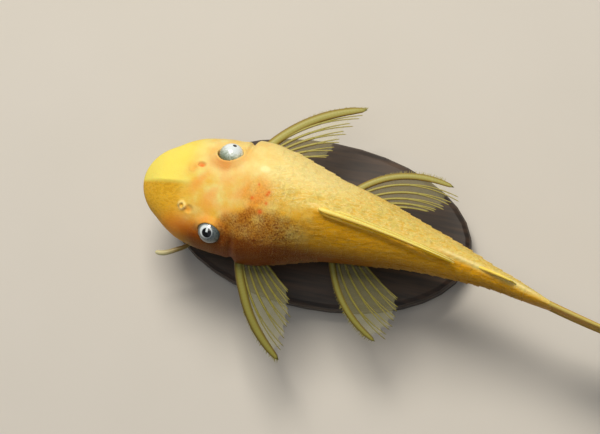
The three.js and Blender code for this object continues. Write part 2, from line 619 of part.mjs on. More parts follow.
// The folded dorsal fin: narrow sections along the back, with its rays as lengthwise ridges
function foldedDorsal() {
  const height = profile(DORSAL_HEIGHT);
  const halfWide = profile(DORSAL_HALF_WIDTH);
  const clearance = profile(DORSAL_CLEARANCE);
  const rings = [];
  for (let i = 0; i <= DORSAL_STEPS; i++) {
    const t = i / DORSAL_STEPS;
    const station = lerp(DORSAL_FROM, DORSAL_TO, t);
    const foot = backHeight(station) * PERCENT + clearance(t);
    const lean = -DORSAL_LEAN * PERCENT * t;
    const at = (level, wide) => vec(station * PERCENT, lean + wide * halfWide(t), foot + level * height(t));
    const right = DORSAL_FLANK.map(([level, wide]) => at(level, wide));
    const left = DORSAL_FLANK.map(([level, wide]) => at(level, -wide)).reverse();
    rings.push([...right, at(1, 0), ...left]);
  }
  return loft(rings, null, null);
}
addNode("dorsal_fin", foldedDorsal(), FIN);

for (const [name, fin] of Object.entries(FINS)) {
  addNode(name, largest(finSolid(fin).subtract(bodyCutter)), FIN);
}

addNode("caudal_fin", finSolid(CAUDAL), FIN);

// Stand: an oval bevelled base and two rods, each with a foot and a pad under the belly
const oval = new THREE.Shape();
oval.absellipse(0, 0, BASE_LENGTH / 2 - BASE_BEVEL, BASE_WIDTH / 2 - BASE_BEVEL, 0, 2 * Math.PI);
const basePlate = new THREE.ExtrudeGeometry(oval, {
  depth: BASE_HEIGHT - BASE_BEVEL,
  bevelEnabled: true,
  bevelThickness: BASE_BEVEL,
  bevelSize: BASE_BEVEL,
  bevelSegments: 2,
  curveSegments: 18,
});
const upperHalf = solidOf(basePlate).trimByPlane([0, 0, 1], 0);
addNode("stand_base", upperHalf, WOOD, true);

const ROD_PROFILE = [
  [0, 0], [ROD_FOOT_RADIUS, 0], [ROD_FOOT_RADIUS, 0.8], [ROD_RADIUS, 1.4], [ROD_RADIUS, ROD_LENGTH - 1.6],
  [ROD_PAD_RADIUS, ROD_LENGTH - 0.8], [ROD_PAD_RADIUS, ROD_LENGTH], [0, ROD_LENGTH],
];
for (const [name, station] of [["front", FRONT_ROD_AT], ["rear", REAR_ROD_AT]]) {
  const foot = place(vec(station * PERCENT, 0, 0));
  const rod = new THREE.LatheGeometry(profilePoints(ROD_PROFILE), 16)
    .rotateX(Math.PI / 2)
    .translate(foot.x, foot.y, BASE_HEIGHT + GAP);
  addNode(`stand_rod_${name}`, solidOf(rod), STEEL, true);
}

export default pleco;
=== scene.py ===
"""A life-size museum model of a young golden bristlenose pleco, fins spread, on a plain display stand."""

import math

import bmesh
import bpy
import numpy as np
from mathutils import Matrix, Vector, noise


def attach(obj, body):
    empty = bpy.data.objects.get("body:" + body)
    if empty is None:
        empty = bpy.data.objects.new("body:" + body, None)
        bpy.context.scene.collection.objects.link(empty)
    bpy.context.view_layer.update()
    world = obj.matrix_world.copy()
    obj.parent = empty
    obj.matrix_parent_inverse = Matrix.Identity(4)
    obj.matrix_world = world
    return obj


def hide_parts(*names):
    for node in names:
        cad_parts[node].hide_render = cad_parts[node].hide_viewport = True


bl_info = {
    "name": "Golden bristlenose pleco",
    "version": (1, 0, 0),
    "blender": (4, 5, 0),
    "location": "View3D > Sidebar > Pleco",
    "description": "Skin, plates, odontodes, fins, eyes and sucker mouth of a golden pleco, and its stage",
    "category": "Add Mesh",
}

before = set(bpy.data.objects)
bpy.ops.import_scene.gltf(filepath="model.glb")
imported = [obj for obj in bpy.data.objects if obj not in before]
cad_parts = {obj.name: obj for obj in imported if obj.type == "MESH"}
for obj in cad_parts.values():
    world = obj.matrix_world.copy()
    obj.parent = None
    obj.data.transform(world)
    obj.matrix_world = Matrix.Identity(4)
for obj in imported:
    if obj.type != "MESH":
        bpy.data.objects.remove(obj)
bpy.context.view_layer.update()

MM = 0.001
SEED = 11

# The body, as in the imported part. Places along and across it are in percent of standard length.
STANDARD_LENGTH = 84.0  # mm, snout to the root of the tail fin
PERCENT = STANDARD_LENGTH / 100
NECK = 30.0
BASE_CENTRE_AT = 44.0
BELLY_HEIGHT = 16.6  # mm over the floor
HEAD_CURVE = -math.radians(7.5) / (NECK * PERCENT)
TAIL_CURVE = math.radians(16) / ((100 - NECK) * PERCENT)
TAIL_FIN_CURVE = -math.radians(6) / (31 * PERCENT)
HEAD_END = 26.0
TAIL_END = 107.0  # the scaly base of the tail fin runs on past the end of the plates
TAIL_CLOSING = 0.4

HALF_WIDTH = (
    (0, 0), (2, 5.8), (4, 7.9), (6, 9.3), (9, 11.4), (12, 12.9), (15, 13.7), (18, 14.2), (22, 14.5),
    (25.4, 14.5), (27.6, 15.6), (31, 15.5), (36, 14.4), (42, 12.5), (48, 10.7), (54, 9.6), (60, 8.5),
    (66, 7.05), (72, 5.8), (78, 4.8), (84, 3.85), (90, 2.75), (95, 2.2), (100, 1.8), (104, 1.25), (107, 0.85),
)
BACK_HEIGHT = (
    (0, 3), (1.5, 5.6), (4, 7.9), (8, 10.2), (14, 12.6), (21, 14.8), (30, 17.4), (38, 19.2),
    (45, 20), (52, 19.1), (60, 17.4), (70, 15.2), (80, 13.4), (90, 12.4), (100, 12.4), (107, 12.7),
)
BELLY_LEVEL = (
    (0, 3), (1.5, 1.2), (4, 0.4), (8, 0), (50, 0), (60, 0.4), (70, 1.2), (80, 1.8), (100, 1.6), (107, 1.2),
)
WIDEST_LEVEL = (
    (0, 3), (6, 3.2), (12, 3.6), (24, 4.2), (36, 4.6), (50, 4.8), (65, 5.2), (80, 6), (100, 7), (107, 7),
)
ARCH_POWER = (
    (0, 2), (10, 2.1), (24, 2.25), (36, 1.95), (46, 1.75), (66, 1.85), (85, 2.1), (100, 2.2), (107, 3),
)
UNDERSIDE_POWER = ((0, 2), (6, 3), (20, 3.6), (55, 3.4), (75, 2.5), (100, 2.2), (107, 3))

# Body plates: five rows a side, each plate rising to its rear edge like a shingle
PLATES_START = 31.0
PLATES_END = 100.0
PLATE_COUNT = 24
PLATE_PITCH = (PLATES_END - PLATES_START) / PLATE_COUNT
PLATE_STEP = 0.06
PLATE_BULGE = 0.5
PLATE_STAGGER = 0.175  # how far every second row is set back, on both sides of its middle
ROW_SEAMS = np.array((90.0, 68.0, 46.0, 24.0, -2.0, -38.0))  # degrees above the side, from the back down
PLATE_ROWS_OF_MESH = (0, 0.06, 0.14, 0.24, 0.34, 0.44, 0.54, 0.64, 0.74, 0.83, 0.92)
HEAD_ROWS = 186
COLUMNS = 208

# The right one first, then the left one
EYES_AT = ((21.1, 9.8), (20.45, 10.35))
EYE_OPENINGS = ((2.95, 2.3), (2.4, 2.0))  # mm, half the length and the width between the lids
NOSTRILS_AT = ((14.55, 5.5), (14.3, 6.0))
NOSTRIL_TUBES_AT = ((12.6, 4.35), (12.4, 5.5))
NOSTRIL_RELIEF = ((0.7, 0.08), (0.35, 0.42))  # mm, how deep the pit is and how high the tube
PIT_SHAPE = ((0.85, 1.5, 1.0), (0.8, 1.0, 1.0))  # the nostrils' pits are longer than they are wide
EYE_RADIUS = 2.8  # mm
EYE_SINK = 0.95
EYE_CLEARANCE, CORNEA_BULGE = 0.06, 0.1
LID_AT = 2.35  # where the lids' edge is on the scale of from_eyes
MOUTH_AT = 11.0
SNOUT_RIDGE_AT, SNOUT_RIDGE_SLANT = 7.5, 0.15  # where the ridge crosses the middle line, and its slope
PECTORAL_AT, PELVIC_AT = 31, 55  # the middles of the paired fins' roots

FINS = {
    "pectoral_fin_right": dict(
        rays=6, base=((27.2, 12.6, 3.9), (34, 12.8, 3.5)), tips=((49.4, 29.9, 1.2), (43.6, 15.4, 2.8)),
        spine_bow=0.085, last_bow=0.02, edge_bulge=-0.02, lead=(-1, 1, 0), spine=(1.02, 0.5),
    ),
    "pectoral_fin_left": dict(
        rays=6, base=((27, -12.6, 3.9), (33.4, -12.8, 3.5)), tips=((44.4, -36.9, 1.2), (42.2, -19.4, 2.8)),
        spine_bow=0.125, last_bow=0.03, edge_bulge=0.09, lead=(-1, -1, 0), spine=(1.02, 0.5),
    ),
    "pelvic_fin_right": dict(
        rays=5, base=((50.2, 7.2, 2), (58.6, 6.6, 1.8)), tips=((73.8, 18, 0.3), (69.9, 9.8, 1.1)),
        spine_bow=0.14, last_bow=0.05, edge_bulge=0.28, lead=(-1, 1, 0), spine=(0.78, 0.42),
    ),
    "pelvic_fin_left": dict(
        rays=5, base=((50.2, -7.2, 2), (57.6, -6.6, 1.8)), tips=((68.9, -25.2, 0.3), (70.8, -13.2, 1.1)),
        spine_bow=0.135, last_bow=0.04, edge_bulge=0.2, lead=(-1, -1, 0), spine=(0.78, 0.42),
    ),
    "adipose_fin": dict(
        rays=1, base=((86.2, 0.5, 11.4), (94.5, 0.5, 11.4)), tips=((96.6, 0.6, 14.5), (97.4, 0.6, 12.9)),
        spine_bow=0.08, last_bow=0, edge_bulge=0, lead=(-0.3, 0, 1), spine=(0.45, 0.4),
    ),
    "anal_fin": dict(
        rays=4, base=((68.8, 0, 2.6), (74.2, 0, 3)), tips=((79.4, 0, -5.6), (82.2, 0, -1.6)),
        spine_bow=0.08, last_bow=0.02, edge_bulge=0.12, lead=(-0.4, 0, -1), spine=(0.36, 0.34),
    ),
    "caudal_fin": dict(
        rays=15, base=((107, 0, 12.2), (107, 0, 1.7)), tips=((127, -0.5, 15.6), (131, 0.5, -3.2)),
        spine_bow=0.03, last_bow=-0.03, edge_bulge=-0.12, lead=(0, 0, 1), spine=(0.5, 0.55),
    ),
}
DORSAL_FROM, DORSAL_TO = 46.3, 81.8
DORSAL_END = 84  # the skin is free of the folded fin from here on
DORSAL_LEAN = 1.1  # how far the fold's rear end lies to the left
# Relief of the skin in mm: how wide its fine forms are, and how far each form stands out or sinks in
LUMP_SIZE, LUMP_HEIGHT = 4.5, 0.16
WINDING_SIZE, WINDING_HEIGHT = 1.5, 0.15
STREAK_SIZE, STREAK_HEIGHT = 0.7, 0.08
PORE_SIZE, PORE_DEPTH = 0.42, 0.035
ORBIT_RIM, EYELID, SOCKET = 0.95, 0.15, 2.2
SNOUT_RIDGE, GILL_SLIT, GILL_COVER = 0.75, 0.5, 0.22
LEFT_GILL = 0.55  # the left gill cover lies closer, so its slit is this much shallower
PIT_RADIUS, TUBE_RADIUS = 0.78, 0.72
KEEL, LINES_ON_PLATE, PLATE_SEAM = 0.1, 0.022, 0.05
LINES_A_PLATE = 7
TAIL_CREST, FOLD_RISE = 0.25, 1.5


def linear(hex_colour):
    """An sRGB hex colour as linear RGBA."""
    parts = [int(hex_colour[i : i + 2], 16) / 255 for i in (1, 3, 5)]
    return tuple(c / 12.92 if c <= 0.04045 else ((c + 0.055) / 1.055) ** 2.4 for c in parts) + (1.0,)


def colour_property(name, description, hex_colour):
    """A colour that a user may change."""
    return bpy.props.FloatVectorProperty(
        name=name, description=description, default=linear(hex_colour), size=4, subtype="COLOR", min=0, max=1
    )


def length_property(name, description, millimetres):
    """A length that a user may change."""
    return bpy.props.FloatProperty(
        name=name, description=description, default=millimetres * MM, min=0, unit="LENGTH", precision=5
    )


class PlecoSizes(bpy.types.PropertyGroup):
    """Sizes of the small forms that the skin and the fins carry"""

    plate_lift: length_property("Plate lift", "How far a plate's rear edge stands over the next plate", 0.36)
    odontode_length: length_property("Odontode length", "Length of the small hooked teeth on the plates", 0.34)
    odontode_spacing: length_property("Odontode spacing", "Distance between two rows of them", 0.36)
    ray_half_width: length_property("Ray half width", "Half the width of a fin ray at its root", 0.29)
    membrane_thickness: length_property("Membrane thickness", "Thickness of the skin between the rays", 0.1)


class PlecoColours(bpy.types.PropertyGroup):
    """Colours of the skin's zones, the fins, the eyes and the stage"""

    # Lemon, light gold and pale also paint light on the fish's right side, and amber and brown paint shade on
    # its left
    light_gold: colour_property("Light gold", "The mottling of the body", "#e2d075")
    gold: colour_property("Gold", "Most of the body", "#e4b23c")
    lemon: colour_property("Lemon", "The soft snout", "#f2e268")
    pale: colour_property("Pale", "Pale bone under thin skin, and the tips of odontodes", "#fdf2b4")
    orange: colour_property("Orange", "The nape, where blood shows through", "#ec8c30")
    brown: colour_property("Brown", "Cheeks and the gaps between odontodes", "#6a2b03")
    red: colour_property("Red", "Small red spots on the nape and in the nostrils", "#e04c14")
    olive: colour_property("Olive", "Hollows between the ridges of the fore back", "#b3a04a")
    amber: colour_property("Amber", "The lower flanks", "#e0a204")
    ray: colour_property("Ray", "Fin rays and spines", "#a9a55f")
    membrane: colour_property("Membrane", "Skin between the rays", "#dcdcb0")
    eye: colour_property("Eye", "Pearly blue ring of the eye", "#e3eff4")
    floor: colour_property("Floor", "The plain floor", "#d3d0ca")


def profile(pairs):
    """A smooth curve through (station, value) pairs that doesn't overshoot, run on the root of the station."""
    q = np.sqrt(np.array([s for s, _ in pairs], float))
    v = np.array([value for _, value in pairs], float)
    slope = np.diff(v) / np.diff(q)
    tangent = np.empty_like(v)
    tangent[0], tangent[-1] = slope[0], slope[-1]
    before, after = slope[:-1], slope[1:]
    total = np.where(before + after == 0, 1, before + after)
    tangent[1:-1] = np.where(before * after <= 0, 0, 2 * before * after / total)

    def value(station):
        at = np.sqrt(np.clip(station, 0, pairs[-1][0]))
        i = np.clip(np.searchsorted(q, at) - 1, 0, len(q) - 2)
        step = q[i + 1] - q[i]
        t = (at - q[i]) / step
        rise = t * t * (3 - 2 * t)
        bend = tangent[i] * t * (1 - t) ** 2 - tangent[i + 1] * t * t * (1 - t)
        return v[i] * (1 - rise) + v[i + 1] * rise + step * bend

    return value


half_width = profile(HALF_WIDTH)
back_height = profile(BACK_HEIGHT)
belly_level = profile(BELLY_LEVEL)
widest_level = profile(WIDEST_LEVEL)
arch_power = profile(ARCH_POWER)
underside_power = profile(UNDERSIDE_POWER)


def smoothstep(x, low, high):
    """0 up to low and 1 from high on, with a soft rise between them."""
    t = np.clip((x - low) / (high - low), 0, 1)
    return t * t * (3 - 2 * t)


def between(x, rising, falling):
    """1 over a stretch with soft ends: it rises over one pair of values and falls over the other."""
    return smoothstep(x, *rising) * (1 - smoothstep(x, *falling))


def hill(x, spread):
    """1 at 0, falling to nothing over a few spreads."""
    return np.exp(-((x / spread) ** 2))


def unit(vectors):
    """The same directions at length 1."""
    return vectors / np.maximum(np.linalg.norm(vectors, axis=-1, keepdims=True), 1e-12)


def grain(points, size, offset=0.0):
    """Smooth noise from -1 to 1 at points in mm, with lumps of about a size in mm."""
    scaled = points / size + offset
    return np.array([noise.noise(p) for p in scaled.tolist()])


def place(points):
    """Straight body space in mm to the part's frame in metres: along the spine, and up over the stand."""
    x, y, z = points[..., 0], points[..., 1], points[..., 2]
    from_neck = np.minimum(x, STANDARD_LENGTH) - NECK * PERCENT
    curve = np.where(from_neck < 0, HEAD_CURVE, TAIL_CURVE)
    heading = curve * from_neck
    spine_x = (NECK - BASE_CENTRE_AT) * PERCENT + np.sin(heading) / curve
    spine_y = (np.cos(heading) - 1) / curve
    turned = heading + TAIL_FIN_CURVE * np.maximum(x - STANDARD_LENGTH, 0)
    spine_x = spine_x + (np.sin(turned) - np.sin(heading)) / TAIL_FIN_CURVE
    spine_y = spine_y + (np.cos(turned) - np.cos(heading)) / TAIL_FIN_CURVE
    placed = [spine_x + y * np.sin(turned), spine_y + y * np.cos(turned), z + BELLY_HEIGHT]
    return np.stack(placed, -1) * MM


def body_point(station, angle, lift=0.0):
    """The plain body surface in straight body space. The angle is 0 at the right side and 90 on the back."""
    c, s = np.cos(np.radians(angle)), np.sin(np.radians(angle))
    width, level = half_width(station), widest_level(station)
    reach = np.where(s >= 0, back_height(station) - level, level - belly_level(station))
    power = np.where(s >= 0, arch_power(station), underside_power(station))
    y = np.sign(c) * width * np.abs(c) ** (2 / power)
    z = np.sign(s) * reach * np.abs(s) ** (2 / power)
    ny = np.sign(y) * np.abs(y / np.maximum(width, 1e-9)) ** (power - 1) * reach
    nz = np.sign(z) * np.abs(z / np.maximum(reach, 1e-9)) ** (power - 1) * width
    n = np.hypot(ny, nz) + 1e-9
    return np.stack(
        [station * PERCENT, y * PERCENT + lift * ny / n, (z + level) * PERCENT + lift * nz / n], -1
    )


def skin_height(station, y):
    """Height of the back over the base plane at a place seen from above, in mm."""
    level = widest_level(station)
    power = arch_power(station)
    inside = np.maximum(1 - np.abs(y / half_width(station)) ** power, 0)
    return (level + (back_height(station) - level) * inside ** (1 / power)) * PERCENT


def on_back(spot, side):
    """A place on the back and the skin's normal there, in straight body space."""
    station, y = spot

    def at(s, w):
        return np.array([s * PERCENT, side * w * PERCENT, float(skin_height(s, w))])

    normal = np.cross(at(station + 1, y) - at(station - 1, y), at(station, y + 1) - at(station, y - 1))
    normal = unit(normal)
    return at(station, y), normal if normal[2] > 0 else -normal


EYE_SPOTS = [on_back(at, side) for at, side in zip(EYES_AT, (1, -1))]
NOSTRIL_SPOTS = [on_back(at, side) for at, side in zip(NOSTRILS_AT, (1, -1))]
NOSTRIL_TUBES = [on_back(at, side) for at, side in zip(NOSTRIL_TUBES_AT, (1, -1))]


def distance_to(points, spots):
    """Distance in mm to the nearest of some spots."""
    return np.min([np.linalg.norm(points - spot, axis=-1) for spot, _ in spots], axis=0)


def from_eyes(points):
    """Distance from the nearer eye on a scale that puts the edge of its oval lids at LID_AT."""
    scaled = []
    for (spot, normal), (long, wide) in zip(EYE_SPOTS, EYE_OPENINGS):
        offset = points - spot
        ahead = unit(np.array((1.0, 0.0, 0.0)) - normal * normal[0])
        along = offset @ ahead
        aside = np.linalg.norm(offset - along[..., None] * ahead, axis=-1)
        scaled.append(np.hypot(along / long, aside / wide) * LID_AT)
    return np.minimum(*scaled)


def flank_angle(angle):
    """Degrees above the side, alike on both sides: 90 on the back and -90 under the belly."""
    return np.where(angle > 90, 180 - angle, angle)


def plate_row(flank):
    """Which plate row a flank angle is in, counted down from the back, and how far across it."""
    row = np.interp(-flank, -ROW_SEAMS, np.arange(len(ROW_SEAMS)))
    across = row - np.floor(row)
    crown = np.where(flank > ROW_SEAMS[-1], np.sin(np.pi * across) ** 0.6, 0)
    return row, across, crown


def clear_of_fins(station, flank):
    """0 where a fin grows, so that its root meets smooth skin, and 1 away from every fin."""
    along = between(station, (DORSAL_FROM - 3, DORSAL_FROM - 1), (DORSAL_END - 2, DORSAL_END))
    dorsal = 1 - along * (1 - smoothstep(90 - flank, 5, 12))
    low = smoothstep(np.abs(flank), 14, 26)
    pectoral = smoothstep(np.abs(station - PECTORAL_AT), 4, 6)
    pelvic = smoothstep(np.abs(station - PELVIC_AT), 6, 8)
    return dorsal * np.maximum(low, np.minimum(pectoral, pelvic))


def fold_ramp(station, y):
    """The skin's rise to the folded dorsal fin: 1 at the fin, gently down to its right, steeper to its left.

    The second result is the same for the pale colour, a painted highlight, which stays on the lit right side.
    """
    share = (station - DORSAL_FROM) / (DORSAL_TO - DORSAL_FROM)
    aside = y + DORSAL_LEAN * np.clip(share, 0, 1)
    slopes = np.exp(-np.maximum(aside, 0) / 1.1) * smoothstep(aside, -1.9, -0.2)
    rise = between(share, (-0.04, 0.1), (0.7, 1.02)) * slopes
    return rise, rise**2 * smoothstep(aside, -0.3, 0.15)


def from_snout_ridge(station, y):
    """How far to the right of the snout's slanting ridge a place is."""
    return y - SNOUT_RIDGE_SLANT * (station - SNOUT_RIDGE_AT)


def head_relief(station, angle, plain):
    """Lift of the bony head in mm: orbit rims, sockets, nostrils, the snout's ridge and the gill opening."""
    flank = flank_angle(angle)
    on_top = smoothstep(np.sin(np.radians(angle)), 0, 0.3)
    y = plain[..., 1] / PERCENT
    from_eye = from_eyes(plain)
    inwards = 1 - smoothstep(np.abs(y), EYES_AT[0][1] - 2, EYES_AT[0][1] + 1)
    rim = ORBIT_RIM * inwards * hill(from_eye - 2.6, 1.0)
    fold = EYELID * hill(from_eye - 2.5, 0.16) - 0.1 * hill(from_eye - 3.1, 0.25)
    socket = -SOCKET * (1 - smoothstep(from_eye, LID_AT - 0.3, LID_AT + 0.03))
    from_ridge = np.abs(from_snout_ridge(station, y))
    ridge = SNOUT_RIDGE * np.exp(-from_ridge / 1.5) * hill(station - 7, 5) * smoothstep(station, 0.5, 3)
    nostrils = 0
    for i, (pit_depth, tube_height) in enumerate(NOSTRIL_RELIEF):
        pit = np.linalg.norm((plain - NOSTRIL_SPOTS[i][0]) * PIT_SHAPE[i], axis=-1)
        tube = np.linalg.norm(plain - NOSTRIL_TUBES[i][0], axis=-1)
        flap = np.linalg.norm(plain - (NOSTRIL_SPOTS[i][0] + NOSTRIL_TUBES[i][0]) / 2, axis=-1)
        nostrils = nostrils - pit_depth * np.exp(-((pit / PIT_RADIUS) ** 4)) + 0.06 * hill(pit - 1.05, 0.3)
        worn = np.clip(0.6 + 1.9 * grain(plain, 1.1, 4.0), 0, 1.5)
        nostrils = nostrils + tube_height * worn * (hill(tube - TUBE_RADIUS, 0.3) - 0.3 * hill(tube, 0.4))
        nostrils = nostrils + (0.15 + 0.3 * i) * hill(flap, 0.42)
    sideways = np.abs(flank)
    shut = np.where(y < 0, LEFT_GILL, 1)
    gill = -GILL_SLIT * shut * hill(station - HEAD_END, 0.7) * (1 - smoothstep(sideways, 34, 58))
    cover = GILL_COVER * shut * hill(station - HEAD_END + 1.5, 1.0) * (1 - smoothstep(sideways, 30, 54))
    return on_top * (rim + fold + socket + ridge + nostrils) + gill + cover


def skin_sample(ring, angle):
    """A point of the finished skin, and where it lies on the plain body. Rings past TAIL_END close its end."""
    sizes = bpy.context.scene.pleco_sizes
    flank = flank_angle(angle)
    row, across, crown = plate_row(flank)
    plated = smoothstep(ring, PLATES_START, PLATES_START + 1.5)
    bow = between(ring, (PLATES_START + 0.8, PLATES_START + 4.8), (95, 99))
    stagger = PLATE_STAGGER * (1 - np.cos(np.pi * (row - 0.5)))
    station = np.minimum(ring, TAIL_END) + bow * PLATE_PITCH * (PLATE_BULGE * crown + stagger - 0.4)
    phase = np.mod((ring - PLATES_START) / PLATE_PITCH + 1e-6, 1)
    rising = np.clip((phase - PLATE_STEP) / (1 - PLATE_STEP), 0, 1) ** 0.8
    share = np.where(phase < PLATE_STEP, 1 - phase / PLATE_STEP, rising) * plated * (ring < PLATES_END)
    share = share * (1 - 0.7 * smoothstep(ring, 88, 99))
    clear = clear_of_fins(station, flank)
    plain = body_point(station, angle)

    # On the back the plates lie nearly flush, and their edges only stand out along the flanks
    proud = 0.15 + 0.4 * (1 - smoothstep(flank, 16, 38))
    on_plates = plated * (flank > ROW_SEAMS[-1])
    keel = KEEL * hill(across - 0.5, 0.14) * (0.5 + 0.5 * share) * proud
    streaks = LINES_ON_PLATE * np.cos(2 * np.pi * across * LINES_A_PLATE) * (0.4 + 0.6 * share)
    seam = -PLATE_SEAM * (hill(across, 0.08) + hill(across - 1, 0.08)) * (row > 0.2) * (0.4 + 0.6 * proud)
    y = plain[..., 1] / PERCENT
    on_crest = hill(y - 0.5, 0.45) * smoothstep(flank, 40, 60) * smoothstep(station, 72, 80)
    crest = TAIL_CREST * on_crest * (1 - smoothstep(station, 100, 106))
    crest = crest + FOLD_RISE * fold_ramp(station, y)[0] * smoothstep(flank, 30, 50)
    lift = sizes.plate_lift / MM * share * crown * clear * proud + on_plates * clear * (keel + streaks + seam)
    lift = lift + crest
    lift = lift + np.where(station < HEAD_END + 5, head_relief(station, angle, plain), 0)

    # Bone under thin skin: broad lumps on the head, and winding ridges on the fore back and cheeks
    lumps = LUMP_HEIGHT * grain(plain, LUMP_SIZE) * (1 - smoothstep(station, 30, 40))
    fore_back = between(station, (23, 30), (44, 52)) * smoothstep(flank, 10, 40)
    winding = WINDING_HEIGHT * (0.5 - np.abs(grain(plain, WINDING_SIZE, 7.3))) * fore_back
    drawn_out = grain(plain * np.array((0.35, 1.0, 1.0)), STREAK_SIZE, 1.9)
    drawn_out = STREAK_HEIGHT * drawn_out * smoothstep(station, 44, 54)
    pores = PORE_DEPTH * grain(plain, PORE_SIZE, 3.1) * smoothstep(station, 8, 16) + drawn_out
    lift = lift + np.sin(np.radians(np.clip(flank + 20, 0, 90))) * (lumps + winding) + pores

    surface = body_point(station, angle, lift)
    beyond = np.maximum(ring - TAIL_END, 0)
    shrink = np.sqrt(np.clip(1 - (beyond / TAIL_CLOSING) ** 2, 0, 1))[..., None]
    centre = np.stack([station * PERCENT, 0 * station, widest_level(station) * PERCENT], -1)
    surface = centre + (surface - centre) * shrink
    surface[..., 0] += beyond * PERCENT
    return place(surface), station, plain


def section_angles(count):
    """Angles round the body at even steps of its mid section, finer over the back than under the belly."""
    angles = np.linspace(-90, 270, 2881)
    points = body_point(np.full(angles.shape, 30.0), angles)
    steps = np.linalg.norm(np.diff(points, axis=0), axis=1)
    middle = (angles[1:] + angles[:-1]) / 2
    steps = steps * np.where(np.sin(np.radians(middle)) < -0.05, 0.55, 1)
    length = np.concatenate([[0], np.cumsum(steps)])
    return np.interp(np.linspace(0, length[-1], count + 1), length, angles)


def mesh_rings():
    """Rings of the skin's mesh: close on the head, and at the same phases of each plate."""
    head = PLATES_START * np.linspace(0, 1, HEAD_ROWS, endpoint=False) ** 1.25
    plates = [PLATES_START + (i + t) * PLATE_PITCH for i in range(PLATE_COUNT) for t in PLATE_ROWS_OF_MESH]
    base = np.linspace(PLATES_END, TAIL_END, 15)
    closing = TAIL_END + TAIL_CLOSING * np.array((0.5, 0.875, 1.0))
    return np.concatenate([head, plates, base, closing])


BLOOD_SPOTS = (  # station, y and radius of the red spots on the nape
    (29.55, -0.5, 0.5), (33.2, 0.9, 0.45), (33.5, 1.5, 0.45), (30.6, 3.1, 0.3), (32.2, -3.5, 0.6),
    (33.4, -1.3, 0.4),
)
GRAINS_FROM = ((20, 22, 27.8, 32.3, 38.7, 44.9, 50), (-7.5, -6, -3.5, -2.5, -3.1, -2.9, -3))  # stations and y
PATCHES = {  # station and y of the middle of each soft-edged patch, and its spread along and across
    "nape": (31, 0.2, 3.5, 3.8),
    "under_right_eye": (20.5, 6.2, 2.8, 1.2),
    "low_snout": (12, -10.5, 5, 3),
    "forehead": (20, -1, 7, 7),
    "right_nostril": (14, 3.5, 3, 3),
    "rust": (15.5, -10.3, 4.5, 2),
    "brow": (21, 0.5, 6, 5),
}


def patch(name, station, y):
    """1 at the middle of a patch, falling softly all round it."""
    middle, aside, length, width = PATCHES[name]
    return hill(station - middle, length) * hill(y - aside, width)


